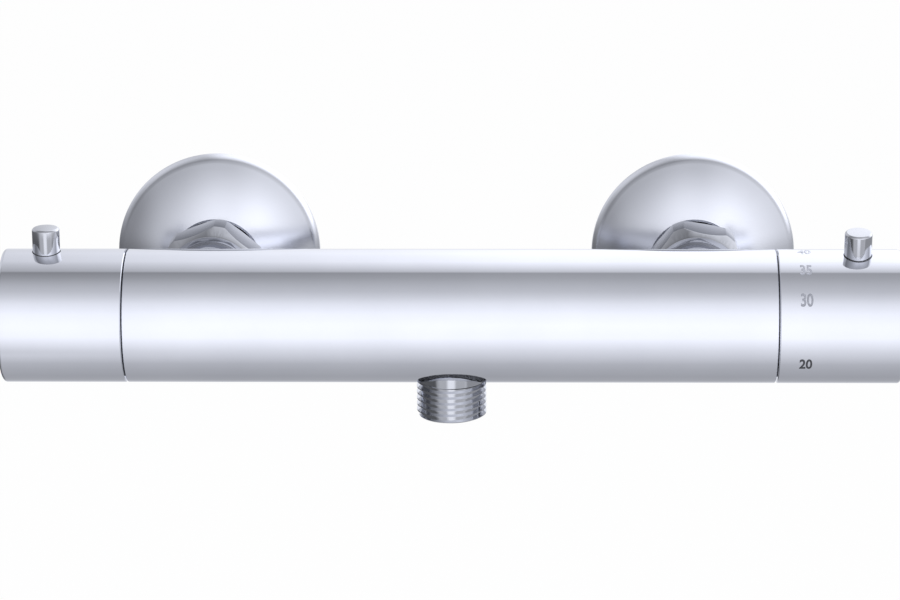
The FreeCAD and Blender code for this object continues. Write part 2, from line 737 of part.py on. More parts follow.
def dome_cap():
    """The cap that leads from the dome's land into its roll: its centre behind the front, and its radius."""
    height = WALL_TO_BAR - DOME_LIP - DOME_FRONT
    roll_centre_r = DOME_R - DOME_ROLL_R
    shortfall = roll_centre_r ** 2 + height ** 2 - DOME_LAND_R ** 2 - DOME_ROLL_R ** 2
    start_r = -shortfall / (2 * DOME_ROLL_R)
    slope = height / DOME_ROLL_R
    square = slope ** 2 - 1
    spread = math.sqrt((start_r * slope) ** 2 - square * (start_r ** 2 - DOME_LAND_R ** 2))
    depth = (spread - start_r * slope) / square
    return depth, start_r + slope * depth


def dome_flange(x):
    """The pressed dome over the wall fitting: a front land, a round cap and a rim rolled to the wall."""
    base = WALL_TO_BAR - DOME_LIP
    hole_r = THREE_QUARTER_R + DOME_HOLE_GAP
    cap_depth, cap_r = dome_cap()
    cap_centre = DOME_FRONT + cap_depth
    roll_centre_r = DOME_R - DOME_ROLL_R
    join_angle = math.atan2(roll_centre_r, cap_centre - base)
    land_angle = math.atan2(DOME_LAND_R, cap_depth)

    def point(place, radius):
        return Vector(x + radius, BAR_Y + place, 0)

    def on_cap(inset, angle):
        return point(cap_centre - (cap_r - inset) * math.cos(angle), (cap_r - inset) * math.sin(angle))

    def on_roll(inset, angle):
        reach = DOME_ROLL_R - inset
        return point(base - reach * math.cos(angle), roll_centre_r + reach * math.sin(angle))

    inner_front = DOME_FRONT + DOME_WALL
    inner_land_angle = math.acos((cap_centre - inner_front) / (cap_r - DOME_WALL))
    inner_land_r = (cap_r - DOME_WALL) * math.sin(inner_land_angle)
    rim_angle = math.pi / 2
    roll_middle = (join_angle + rim_angle) / 2
    outer_land = point(DOME_FRONT, DOME_LAND_R)
    outer_join = on_cap(0, join_angle)
    inner_join = on_cap(DOME_WALL, join_angle)
    inner_land = point(inner_front, inner_land_r)
    outer_rim = point(base, DOME_R)
    inner_rim = point(base, DOME_R - DOME_WALL)
    outer_end = point(WALL_TO_BAR, DOME_R)
    inner_end = point(WALL_TO_BAR, DOME_R - DOME_WALL)
    edges = [
        Part.makeLine(point(DOME_FRONT, hole_r), outer_land),
        Part.Arc(outer_land, on_cap(0, (land_angle + join_angle) / 2), outer_join).toShape(),
        Part.Arc(outer_join, on_roll(0, roll_middle), outer_rim).toShape(),
        Part.makeLine(outer_rim, outer_end),
        Part.makeLine(outer_end, inner_end),
        Part.makeLine(inner_end, inner_rim),
        Part.Arc(inner_rim, on_roll(DOME_WALL, roll_middle), inner_join).toShape(),
        Part.Arc(inner_join, on_cap(DOME_WALL, (inner_land_angle + join_angle) / 2), inner_land).toShape(),
        Part.makeLine(inner_land, point(inner_front, hole_r)),
        Part.makeLine(point(inner_front, hole_r), point(DOME_FRONT, hole_r)),
    ]
    face = Part.Face(Part.Wire(edges))
    return positive(face.revolve(Vector(x, BAR_Y, 0), Vector(0, 1, 0), 360))


def flange_o_ring(x):
    """The ring inside the dome's hole that grips the wall union."""
    place = DOME_FRONT + DOME_WALL + FLANGE_RING_GAP + FLANGE_RING_WIRE_R
    at = Vector(x, BAR_Y + place, 0)
    return torus_about(at, Vector(0, 1, 0), THREE_QUARTER_R + FLANGE_RING_WIRE_R, FLANGE_RING_WIRE_R)


# ---------------------------------------------------------------- pieces that both ends share


def cartridge_nut(side):
    """The nut that clamps a cartridge's flange in the bar's mouth."""
    thread = turned_x(ring(NUT_INNER_X, NECK_END_X, 0, MOUTH_R), side)
    head = prism(
        NUT_HEAD_FLATS, 6, NECK_END_X, NECK_END_X + NUT_HEAD_LENGTH,
        Vector(0, BAR_Y, 0), Vector(side, 0, 0), Vector(0, 0, 1),
    )
    bore_start = NUT_INNER_X - CUT_PAST
    bore_end = NECK_END_X + NUT_HEAD_LENGTH + CUT_PAST
    bore = turned_x(ring(bore_start, bore_end, 0, NOSE_R + SEAT_FIT), side)
    return thread.fuse(head).cut(bore).removeSplitter()


def stop_ring(side, turn_range, pin_tilt):
    """The plastic ring on the bar's neck that guides the handle and holds its two stops."""
    base_end = BODY_HALF + STOP_RING_LENGTH
    base = turned_x(ring(BODY_HALF, base_end, NECK_R, HANDLE_BORE_R - RUN_FIT), side)
    reach = LUG_ANGLE / 2 + LUG_MARGIN
    low_stop = pin_tilt + turn_range[0] - reach
    high_stop = pin_tilt + turn_range[1] + reach
    block_inner = NECK_R + SEAT_FIT
    block_outer = HANDLE_BORE_R - 2 * RUN_FIT
    block_end = base_end + STOP_BLOCK_LENGTH
    blocks = []
    for first in (low_stop - STOP_BLOCK_ANGLE, high_stop):
        last = first + STOP_BLOCK_ANGLE
        blocks.append(sector_x(side, base_end, block_end, block_inner, block_outer, first, last))
    return base.fuse(blocks).removeSplitter()


def grip_cylinder(side, radius, bottom, top):
    """A cylinder that stands on the handle along the grip pin's axis, before the pin's tilt."""
    return Part.makeCylinder(radius, top - bottom, Vector(side * GRIP_X, BAR_Y, bottom), Vector(0, 0, 1))


def handle(side, pin_tilt):
    """A round handle: an open cup with an end wall, a hub, a boss for its grip pin and a stop lug."""
    wall_inner = END_WALL_X
    wall_outer = END_WALL_X + HANDLE_END_WALL
    hub_inner = wall_inner - HUB_LENGTH
    hub_r = ADAPTER_R + HUB_WALL
    cup = turned_x([
        (RIM_X, HANDLE_BORE_R),
        (RIM_X, BAR_R - SEAM_CHAMFER),
        (RIM_X + SEAM_CHAMFER, BAR_R),
        (HANDLE_END_X, BAR_R),
        (HANDLE_END_X, CAP_RECESS_R),
        (CAP_INNER_X, CAP_RECESS_R),
        (CAP_INNER_X, HANDLE_BORE_R),
        (wall_outer, HANDLE_BORE_R),
        (wall_outer, SCREW_R + SEAT_FIT),
        (wall_inner, SCREW_R + SEAT_FIT),
        (wall_inner, ADAPTER_R),
        (hub_inner, ADAPTER_R),
        (hub_inner, hub_r),
        (wall_inner, hub_r),
        (wall_inner, HANDLE_BORE_R),
    ], side)
    rim = []
    for edge in cup.Edges:
        at_end = abs(abs(edge.CenterOfMass.x) - HANDLE_END_X) < SAME_LENGTH
        if at_end and abs(edge.Length - 2 * math.pi * BAR_R) < SAME_LENGTH:
            rim.append(edge)
    cup = cup.makeFillet(HANDLE_EDGE_R, rim)
    boss = grip_cylinder(side, GRIP_BOSS_R, HANDLE_BORE_R - GRIP_BOSS_DEPTH, BAR_R - GRIP_SEAT_DEPTH)
    boss = boss.common(turned_x(ring(RIM_X, wall_inner, 0, BAR_R - HANDLE_WALL / 2), side))
    shank_hole = grip_cylinder(side, GRIP_SHANK_R, hub_r, BAR_R + CUT_PAST)
    pin_seat = grip_cylinder(side, GRIP_PIN_R, BAR_R - GRIP_SEAT_DEPTH, BAR_R + CUT_PAST)
    cup = cup.fuse(boss).cut([shank_hole, pin_seat])
    cup = about_bar(cup, pin_tilt)
    lug_start = BODY_HALF + STOP_RING_LENGTH + STOP_BLOCK_LENGTH - LUG_LENGTH
    lug = sector_x(
        side, lug_start, lug_start + LUG_LENGTH, NECK_R + 2 * SEAT_FIT, HANDLE_BORE_R + SEAT_FIT,
        pin_tilt - LUG_ANGLE / 2, pin_tilt + LUG_ANGLE / 2,
    )
    return cup.fuse(lug).removeSplitter()


def grip_pin(side, pin_tilt):
    """The round grip pin that stands on a handle."""
    top = BAR_R + GRIP_PIN_PROUD
    bottom = BAR_R - GRIP_SEAT_DEPTH
    at = Vector(side * GRIP_X, BAR_Y, 0)
    pin = turned([
        (HANDLE_BORE_R - GRIP_BOSS_DEPTH, 0),
        (HANDLE_BORE_R - GRIP_BOSS_DEPTH, GRIP_SHANK_R),
        (bottom, GRIP_SHANK_R),
        (bottom, GRIP_PIN_R),
        (top - GRIP_PIN_CHAMFER, GRIP_PIN_R),
        (top, GRIP_PIN_R - GRIP_PIN_CHAMFER),
        (top, 0),
    ], at, Vector(0, 0, 1), Vector(1, 0, 0))
    return about_bar(pin, pin_tilt)


def end_cap(side):
    """The flat cap in a handle's end, with a skirt that snaps into the cup."""
    cap_r = CAP_RECESS_R - RUN_FIT
    skirt_r = HANDLE_BORE_R - RUN_FIT
    return turned_x([
        (CAP_INNER_X, 0),
        (CAP_INNER_X, skirt_r - CAP_SKIRT_WALL),
        (CAP_INNER_X - CAP_SKIRT_LENGTH, skirt_r - CAP_SKIRT_WALL),
        (CAP_INNER_X - CAP_SKIRT_LENGTH, skirt_r),
        (CAP_INNER_X, skirt_r),
        (CAP_INNER_X, cap_r),
        (HANDLE_END_X - SEAM_CHAMFER, cap_r),
        (HANDLE_END_X, cap_r - SEAM_CHAMFER),
        (HANDLE_END_X, 0),
    ], side)


def handle_screw(side):
    """The screw through the handle's end wall and the adapter into the spindle."""
    head_inner = END_WALL_X + HANDLE_END_WALL
    tip = SPINDLE_END_X - SCREW_GRIP
    screw = turned_x([
        (tip, 0),
        (tip, SCREW_R),
        (head_inner, SCREW_R),
        (head_inner, SCREW_HEAD_R),
        (head_inner + SCREW_HEAD_LENGTH, SCREW_HEAD_R),
        (head_inner + SCREW_HEAD_LENGTH, 0),
    ], side)
    head_outer = head_inner + SCREW_HEAD_LENGTH
    key = prism(
        SCREW_KEY_FLATS, 6, head_outer - SCREW_KEY_DEPTH, head_outer + CUT_PAST,
        Vector(0, BAR_Y, 0), Vector(side, 0, 0), Vector(0, 0, 1),
    )
    return screw.cut(key)


def adapter(side):
    """The splined bush that joins a spindle to the handle's hub."""
    return turned_x([
        (SPLINE_START_X + FREE_GAP, SPLINE_R),
        (SPLINE_START_X + FREE_GAP, ADAPTER_R),
        (END_WALL_X, ADAPTER_R),
        (END_WALL_X, SCREW_R + SEAT_FIT),
        (SPINDLE_END_X + SEAT_FIT, SCREW_R + SEAT_FIT),
        (SPINDLE_END_X + SEAT_FIT, SPLINE_R),
    ], side)


def splined_end(side, start):
    """A spindle's shank with its seal groove, splined end and tapped hole."""
    seal_x = SEAT_X + SPINDLE_SEAL_FROM_SEAT
    shank = turned_x([
        (start, 0),
        (start, SPINDLE_R),
        (SPLINE_START_X, SPINDLE_R),
        (SPLINE_START_X, SPLINE_R),
        (SPINDLE_END_X, SPLINE_R),
        (SPINDLE_END_X, 0),
    ], side)
    slot_width = math.pi * SPLINE_R / SPLINE_TOOTH_COUNT
    slot = Part.makeBox(
        SPLINE_LENGTH + CUT_PAST, slot_width, 2 * SPLINE_DEPTH,
        Vector(SPLINE_START_X, BAR_Y - slot_width / 2, SPLINE_R - SPLINE_DEPTH),
    )
    if side == LEFT:
        slot = slot.mirror(Vector(0, 0, 0), Vector(1, 0, 0))
    slots = around(slot, Vector(0, BAR_Y, 0), Vector(1, 0, 0), SPLINE_TOOTH_COUNT)
    tapped = turned_x(ring(SPINDLE_END_X - SCREW_GRIP - CUT_PAST, SPINDLE_END_X + CUT_PAST, 0, SCREW_R), side)
    groove = groove_x(side, seal_x, SPINDLE_R - SPINDLE_SEAL_DEPTH, SPINDLE_R)
    return shank.cut(slots + [tapped, groove])


def spindle_o_ring(side):
    """The ring that seals a spindle in its cartridge's nose."""
    seal_x = SEAT_X + SPINDLE_SEAL_FROM_SEAT
    return o_ring_x(side, seal_x, SPINDLE_R - SPINDLE_SEAL_DEPTH, SPINDLE_R)


# ---------------------------------------------------------------- the flow side


def flow_housing():
    """The flow cartridge's brass housing, with outlet windows behind its discs."""
    outer_r = FLOW_HOUSING_R
    seal_x = (FLOW_SHOULDER_X + SEAT_X) / 2
    housing = turned_x([
        (FLOW_HOUSING_END_X, FLOW_INNER_R),
        (FLOW_HOUSING_END_X, outer_r),
        (SEAT_X, outer_r),
        (SEAT_X, MOUTH_R - SEAT_FIT),
        (NUT_INNER_X, MOUTH_R - SEAT_FIT),
        (NUT_INNER_X, NOSE_R),
        (NOSE_END_X, NOSE_R),
        (NOSE_END_X, SPINDLE_R + RUN_FIT),
        (FLOW_SHOULDER_X, SPINDLE_R + RUN_FIT),
        (FLOW_SHOULDER_X, FLOW_INNER_R),
    ], LEFT)
    window = Part.makeBox(
        FLOW_WINDOW_LENGTH, FLOW_WINDOW_WIDTH, outer_r + CUT_PAST,
        Vector(-DOG_X - FLOW_WINDOW_LENGTH, BAR_Y - FLOW_WINDOW_WIDTH / 2, 0),
    )
    windows = around(window, Vector(0, BAR_Y, 0), Vector(1, 0, 0), FLOW_WINDOW_COUNT)
    groove = groove_x(LEFT, seal_x, outer_r - SPINDLE_SEAL_DEPTH, outer_r)
    return housing.cut(windows + [groove])


def flow_body_o_ring():
    """The ring that seals the flow cartridge in the bar."""
    seal_x = (FLOW_SHOULDER_X + SEAT_X) / 2
    return o_ring_x(LEFT, seal_x, FLOW_HOUSING_R - SPINDLE_SEAL_DEPTH, FLOW_HOUSING_R + SEAT_FIT)


def flow_inlet_seal():
    """The rubber seal between the mixing chamber and the fixed disc."""
    outer_r = FLOW_HOUSING_R - FREE_GAP
    return turned_x(ring(FLOW_CAVITY_END_X, FLOW_HOUSING_END_X, FLOW_SEAL_HOLE_R, outer_r), LEFT)


def ported_disc(start, outer_r, first_port):
    """A ceramic disc with evenly spaced ports, the first centred on an angle from the top."""
    disc = turned_x(ring(start, start + DISC_THICKNESS, 0, outer_r), LEFT)
    port = sector_x(
        LEFT, start - CUT_PAST, start + DISC_THICKNESS + CUT_PAST, DISC_PORT_INNER_R, DISC_PORT_OUTER_R,
        first_port - DISC_PORT_ANGLE / 2, first_port + DISC_PORT_ANGLE / 2,
    )
    return disc.cut(around(port, Vector(0, BAR_Y, 0), Vector(1, 0, 0), DISC_PORT_COUNT))


def flow_spindle():
    """The flow spindle: a dog that drives the moving disc, a collar and a splined end."""
    collar_outer = FLOW_SHOULDER_X - COLLAR_FLOAT
    dog = Part.makeBox(
        DOG_THICKNESS, 2 * DISC_PORT_OUTER_R, DOG_WIDTH,
        Vector(-DOG_X - DOG_THICKNESS, BAR_Y - DISC_PORT_OUTER_R, -DOG_WIDTH / 2),
    )
    collar = turned_x(ring(collar_outer - COLLAR_LENGTH, collar_outer, 0, FLOW_COLLAR_R), LEFT)
    return splined_end(LEFT, DOG_X + DOG_THICKNESS).fuse([dog, collar]).removeSplitter()


# ---------------------------------------------------------------- the temperature side


def thermo_seal_places():
    """Each seal's place along the bar, the radius of the land that it sits in and its name."""
    return [
        ("inner", (THERMO_END_X + THERMO_BORE_START_X) / 2, TAIL_R),
        ("middle", (THERMO_HOT_X + THERMO_COLD_X) / 2, THERMO_R),
        ("outer", (THERMO_OUTER_X + SEAT_X) / 2, THERMO_R),
    ]


def port_boxes(start):
    """The slots of one row of ports through the thermostatic housing's wall."""
    box = Part.makeBox(
        PORT_LENGTH, PORT_WIDTH, THERMO_NECK_R + CUT_PAST,
        Vector(start, BAR_Y - PORT_WIDTH / 2, 0),
    )
    return around(box, Vector(0, BAR_Y, 0), Vector(1, 0, 0), PORT_COUNT)


def thermo_housing():
    """The thermostatic cartridge's housing, with hot and cold ports, a key slot and three seal grooves."""
    housing = turned_x([
        (THERMO_END_X, TAIL_HOLE_R),
        (THERMO_END_X, TAIL_R),
        (THERMO_HOT_X, TAIL_R),
        (THERMO_HOT_X, THERMO_R),
        (THERMO_COLD_X, THERMO_R),
        (THERMO_COLD_X, THERMO_NECK_R),
        (THERMO_OUTER_X, THERMO_NECK_R),
        (THERMO_OUTER_X, THERMO_R),
        (SEAT_X, THERMO_R),
        (SEAT_X, MOUTH_R - SEAT_FIT),
        (NUT_INNER_X, MOUTH_R - SEAT_FIT),
        (NUT_INNER_X, NOSE_R),
        (NOSE_END_X, NOSE_R),
        (NOSE_END_X, SPINDLE_R + RUN_FIT),
        (THERMO_BORE_END_X, SPINDLE_R + RUN_FIT),
        (THERMO_BORE_END_X, THERMO_BORE_R),
        (THERMO_BORE_START_X, THERMO_BORE_R),
        (THERMO_BORE_START_X, TAIL_HOLE_R),
    ])
    key_start = REG_NUT_INNER_X - COLD_TRAVEL - FREE_GAP
    key_slot = Part.makeBox(
        CLIP_INNER_X - key_start, KEY_WIDTH + 2 * RUN_FIT, THERMO_BORE_R + KEY_HEIGHT + RUN_FIT,
        Vector(key_start, BAR_Y - KEY_WIDTH / 2 - RUN_FIT, -THERMO_BORE_R - KEY_HEIGHT - RUN_FIT),
    )
    cuts = [key_slot]
    cuts += port_boxes(SPOOL_INNER_X + HOT_TRAVEL - PORT_LENGTH)
    cuts += port_boxes(SPOOL_OUTER_X + HOT_TRAVEL - PORT_LENGTH)
    for name, place, land_r in thermo_seal_places():
        cuts.append(groove_x(RIGHT, place, land_r - SPINDLE_SEAL_DEPTH, land_r))
    return housing.cut(cuts)


def thermo_filter():
    """The perforated sleeve around the cold ports."""
    inner_r = FILTER_R - FILTER_WALL
    sleeve = turned_x(ring(THERMO_COLD_X, THERMO_OUTER_X, inner_r, FILTER_R))
    holes = []
    for row in range(FILTER_ROW_COUNT):
        place = THERMO_COLD_X + (row + 0.5) * COLD_ZONE / FILTER_ROW_COUNT
        hole = Part.makeCylinder(FILTER_HOLE_R, FILTER_R + CUT_PAST, Vector(place, BAR_Y, 0), Vector(0, 0, 1))
        holes += around(hole, Vector(0, BAR_Y, 0), Vector(1, 0, 0), FILTER_COLUMN_COUNT)
    return sleeve.cut(holes)


def spindle_clip():
    """The clip that keeps the adjusting spindle's collar in the housing."""
    inner_r = THERMO_BORE_R - CLIP_BAND
    return turned_x(ring(CLIP_INNER_X, CLIP_INNER_X + CLIP_THICKNESS, inner_r, THERMO_BORE_R))


def temp_spindle():
    """The adjusting spindle: a thread for the regulating nut, a thrust collar and a splined end."""
    thread = turned_x(ring(COLLAR_INNER_X - REG_THREAD_LENGTH, COLLAR_INNER_X, 0, REG_THREAD_R))
    collar = turned_x(ring(COLLAR_INNER_X, COLLAR_OUTER_X, 0, THERMO_COLLAR_R))
    return splined_end(RIGHT, COLLAR_OUTER_X).fuse([thread, collar]).removeSplitter()


def regulating_nut():
    """The keyed nut that the adjusting spindle drives along the bar, hollow for the overload spring."""
    inner_r = SPOOL_R - REG_NUT_WALL
    nut = turned_x([
        (REG_NUT_INNER_X, REG_NUT_LIP_HOLE_R),
        (REG_NUT_INNER_X, SPOOL_R),
        (REG_NUT_OUTER_X, SPOOL_R),
        (REG_NUT_OUTER_X, REG_THREAD_R + RUN_FIT),
        (REG_NUT_FLOOR_X, REG_THREAD_R + RUN_FIT),
        (REG_NUT_FLOOR_X, inner_r),
        (CUP_X, inner_r),
        (CUP_X, REG_NUT_LIP_HOLE_R),
    ])
    key = Part.makeBox(
        REG_NUT_LENGTH, KEY_WIDTH, KEY_HEIGHT + REG_NUT_WALL / 2,
        Vector(REG_NUT_INNER_X, BAR_Y - KEY_WIDTH / 2, -THERMO_BORE_R - KEY_HEIGHT),
    )
    return nut.fuse(key).removeSplitter()


def overload_cup():
    """The cup that the overload spring presses against the wax element's rod."""
    return turned_x([
        (CUP_X, 0),
        (CUP_X, SPOOL_R - REG_NUT_WALL - SEAT_FIT),
        (CUP_BACK_X, SPOOL_R - REG_NUT_WALL - SEAT_FIT),
        (CUP_BACK_X, CUP_SPIGOT_R),
        (CUP_BACK_X + CUP_SPIGOT_LENGTH, CUP_SPIGOT_R),
        (CUP_BACK_X + CUP_SPIGOT_LENGTH, 0),
    ])


def overload_spring():
    """The spring in the regulating nut that yields when the element grows past the spool's travel."""
    return coil(
        OVERLOAD_WIRE_R, OVERLOAD_COIL_R, CUP_BACK_X, REG_NUT_FLOOR_X, OVERLOAD_TURNS,
        Vector(0, BAR_Y, 0), Vector(1, 0, 0),
    )


def wax_element():
    """The wax element: a sensing barrel in the mixed water, a flange on the spool's web and a push rod."""
    flange_end = WEB_OUTER_X + ELEMENT_FLANGE_LENGTH
    nose_end = flange_end + ELEMENT_NOSE_LENGTH
    return turned_x([
        (WEB_INNER_X - ELEMENT_LENGTH, 0),
        (WEB_INNER_X - ELEMENT_LENGTH, ELEMENT_R),
        (WEB_OUTER_X, ELEMENT_R),
        (WEB_OUTER_X, ELEMENT_FLANGE_R),
        (flange_end, ELEMENT_FLANGE_R),
        (flange_end, ELEMENT_NOSE_R),
        (nose_end, ELEMENT_NOSE_R),
        (nose_end, ROD_R),
        (CUP_X, ROD_R),
        (CUP_X, 0),
    ])


def mixing_spool():
    """The sleeve that opens one row of ports as it closes the other, with a holed web for the element."""
    inner_r = SPOOL_R - SPOOL_WALL
    spool = turned_x([
        (SPOOL_INNER_X, inner_r),
        (SPOOL_INNER_X, SPOOL_R),
        (SPOOL_OUTER_X, SPOOL_R),
        (SPOOL_OUTER_X, inner_r),
        (WEB_OUTER_X, inner_r),
        (WEB_OUTER_X, ELEMENT_R),
        (WEB_INNER_X, ELEMENT_R),
        (WEB_INNER_X, inner_r),
    ])
    hole_place = (ELEMENT_FLANGE_R + inner_r) / 2
    hole_start = Vector(WEB_INNER_X - CUT_PAST, BAR_Y, hole_place)
    hole = Part.makeCylinder(WEB_HOLE_R, WEB_THICKNESS + 2 * CUT_PAST, hole_start, Vector(1, 0, 0))
    groove = groove_x(RIGHT, SPOOL_MIDDLE_X, SPOOL_R - SPOOL_SEAL_DEPTH, SPOOL_R)
    return spool.cut(around(hole, Vector(0, BAR_Y, 0), Vector(1, 0, 0), WEB_HOLE_COUNT) + [groove])


def spool_o_ring():
    """The ring that keeps hot and cold apart around the spool."""
    return o_ring_x(RIGHT, SPOOL_MIDDLE_X, SPOOL_R - SPOOL_SEAL_DEPTH, SPOOL_R)


def return_spring():
    """The spring that pushes the spool back against the wax element."""
    return coil(
        RETURN_WIRE_R, RETURN_COIL_R, THERMO_BORE_START_X, WEB_INNER_X, RETURN_TURNS,
        Vector(0, BAR_Y, 0), Vector(1, 0, 0),
    )


# ---------------------------------------------------------------- every piece by name


def inlet_pieces(name, x, nut_turn):
    """All pieces between one inlet boss and the wall."""
    return {
        name + "_union_nut": union_nut(x, nut_turn),
        name + "_snap_ring": snap_ring(x),
        name + "_inlet_washer": inlet_washer(x),
        name + "_inlet_strainer": inlet_strainer(x),
        name + "_check_housing": check_housing(x),
        name + "_check_poppet": check_poppet(x),
        name + "_check_spring": check_spring(x),
        name + "_wall_union": wall_union(x),
        name + "_dome_flange": dome_flange(x),
        name + "_flange_o_ring": flange_o_ring(x),
    }


def handle_pieces(name, side, pin_tilt):
    """All pieces of one handle, without its spindle."""
    return {
        name + "_handle": handle(side, pin_tilt),
        name + "_grip_pin": grip_pin(side, pin_tilt),
        name + "_end_cap": end_cap(side),
        name + "_screw": handle_screw(side),
        name + "_adapter": adapter(side),
        name + "_spindle_o_ring": spindle_o_ring(side),
    }


def flow_pieces():
    """The flow cartridge and its nut and stop ring."""
    return {
        "flow_cartridge_nut": cartridge_nut(LEFT),
        "flow_stop_ring": stop_ring(LEFT, FLOW_RANGE, 0.0),
        "flow_housing": flow_housing(),
        "flow_inlet_seal": flow_inlet_seal(),
        "flow_fixed_disc": ported_disc(FLOW_HOUSING_END_X, FLOW_INNER_R - SEAT_FIT, 0.0),
        "flow_body_o_ring": flow_body_o_ring(),
        "flow_moving_disc": ported_disc(MOVING_DISC_X, FLOW_INNER_R - FREE_GAP, -FLOW_RANGE[1]),
        "flow_spindle": flow_spindle(),
    }


def temperature_pieces():
    """The thermostatic cartridge and its nut and stop ring."""
    pieces = {
        "thermo_cartridge_nut": cartridge_nut(RIGHT),
        "thermo_stop_ring": stop_ring(RIGHT, TEMP_RANGE, TEMP_PIN_TILT),
        "thermo_housing": thermo_housing(),
        "thermo_filter": thermo_filter(),
        "spindle_clip": spindle_clip(),
        "temp_spindle": temp_spindle(),
        "regulating_nut": regulating_nut(),
        "overload_cup": overload_cup(),
        "overload_spring": overload_spring(),
        "wax_element": wax_element(),
        "mixing_spool": mixing_spool(),
        "spool_o_ring": spool_o_ring(),
        "return_spring": return_spring(),
    }
    for name, place, land_r in thermo_seal_places():
        floor_r = land_r - SPINDLE_SEAL_DEPTH
        pieces["thermo_o_ring_" + name] = o_ring_x(RIGHT, place, floor_r, land_r + SEAT_FIT)
    return pieces


def all_pieces():
    """Every piece of the valve by name."""
    pieces = {
        "valve_body": valve_body(),
        "outlet_nipple": outlet_nipple(),
        "outlet_o_ring": outlet_o_ring(),
    }
    pieces.update(inlet_pieces("hot", -INLET_X, HOT_NUT_TURN))
    pieces.update(inlet_pieces("cold", INLET_X, COLD_NUT_TURN))
    pieces.update(flow_pieces())
    pieces.update(handle_pieces("flow", LEFT, 0.0))
    pieces.update(temperature_pieces())
    pieces.update(handle_pieces("temp", RIGHT, TEMP_PIN_TILT))
    return pieces


def main():
    """Build every piece, print its size and write it to its own file."""
    os.makedirs("parts", exist_ok=True)
    for name, shape in all_pieces().items():
        solids = len(shape.Solids)
        print(f"{name}: {solids} solid, {shape.Volume:.1f} mm3, valid {shape.isValid()}")
        shape.exportStep(os.path.join("parts", name + ".step"))
    print(f"carriage travel {-COLD_TRAVEL:.3f} to {HOT_TRAVEL:.3f} mm")


main()
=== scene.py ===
"""Looks of an exposed thermostatic bar valve: its finishes, its finely shaped pieces and the studio round it.

Lengths are in metres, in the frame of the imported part: +X runs along the bar to the right seen from the
front, +Y runs into the wall and +Z is up. The origin lies in the wall plane, midway between the inlets.
"""

import json
import logging
import math
from dataclasses import dataclass, field, replace
from enum import Enum

import bpy
from mathutils import Matrix, Vector


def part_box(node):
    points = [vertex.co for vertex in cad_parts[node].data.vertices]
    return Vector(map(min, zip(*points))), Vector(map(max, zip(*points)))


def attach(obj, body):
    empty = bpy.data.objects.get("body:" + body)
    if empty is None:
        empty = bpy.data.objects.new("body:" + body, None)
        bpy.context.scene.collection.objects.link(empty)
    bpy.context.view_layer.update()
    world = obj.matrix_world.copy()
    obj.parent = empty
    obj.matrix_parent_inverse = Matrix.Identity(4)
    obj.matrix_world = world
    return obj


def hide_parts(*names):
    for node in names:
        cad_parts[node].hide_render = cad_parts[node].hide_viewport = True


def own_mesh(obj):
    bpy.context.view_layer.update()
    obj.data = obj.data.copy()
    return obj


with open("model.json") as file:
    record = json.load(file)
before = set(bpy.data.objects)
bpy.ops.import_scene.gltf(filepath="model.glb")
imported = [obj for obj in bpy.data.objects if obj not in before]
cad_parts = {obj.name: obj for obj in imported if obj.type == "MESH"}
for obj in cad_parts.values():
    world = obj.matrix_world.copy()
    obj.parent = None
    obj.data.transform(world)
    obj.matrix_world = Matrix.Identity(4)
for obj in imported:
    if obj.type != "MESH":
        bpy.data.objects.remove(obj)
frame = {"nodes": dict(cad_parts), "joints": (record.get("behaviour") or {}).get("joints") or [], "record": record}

MM = 0.001
LOG = logging.getLogger("valve_looks")

Colour = tuple[float, float, float]
Outline = list[tuple[float, float]]
Stops = tuple[tuple[float, float], ...]

# Points nearer to each other than this are one point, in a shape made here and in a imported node.
SAME_POINT = 1e-7
SAME_NODE_POINT = 1e-6
# The part of a noise's range that its values mostly fill.
NOISE_LOW = 0.3
NOISE_HIGH = 0.7
# The width of one ring of a Wave texture whose scale is 1.
WAVE_WIDTH = 0.3


class Axis(Enum):
    """The three directions of the part's frame."""

    X = 0
    Y = 1
    Z = 2

    def vector(self) -> Vector:
        """The unit vector along this axis."""
        return Vector([1.0 if i == self.value else 0.0 for i in range(3)])


class Slot(Enum):
    """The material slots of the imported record."""

    POLISHED_CHROME = "polished_chrome"
    RAW_BRASS = "raw_brass"
    SPRING_STEEL = "spring_steel"
    SEAL_RUBBER = "seal_rubber"
    WHITE_PLASTIC = "white_plastic"
    BLACK_PLASTIC = "black_plastic"
    DISC_CERAMIC = "disc_ceramic"
    ELEMENT_COPPER = "element_copper"


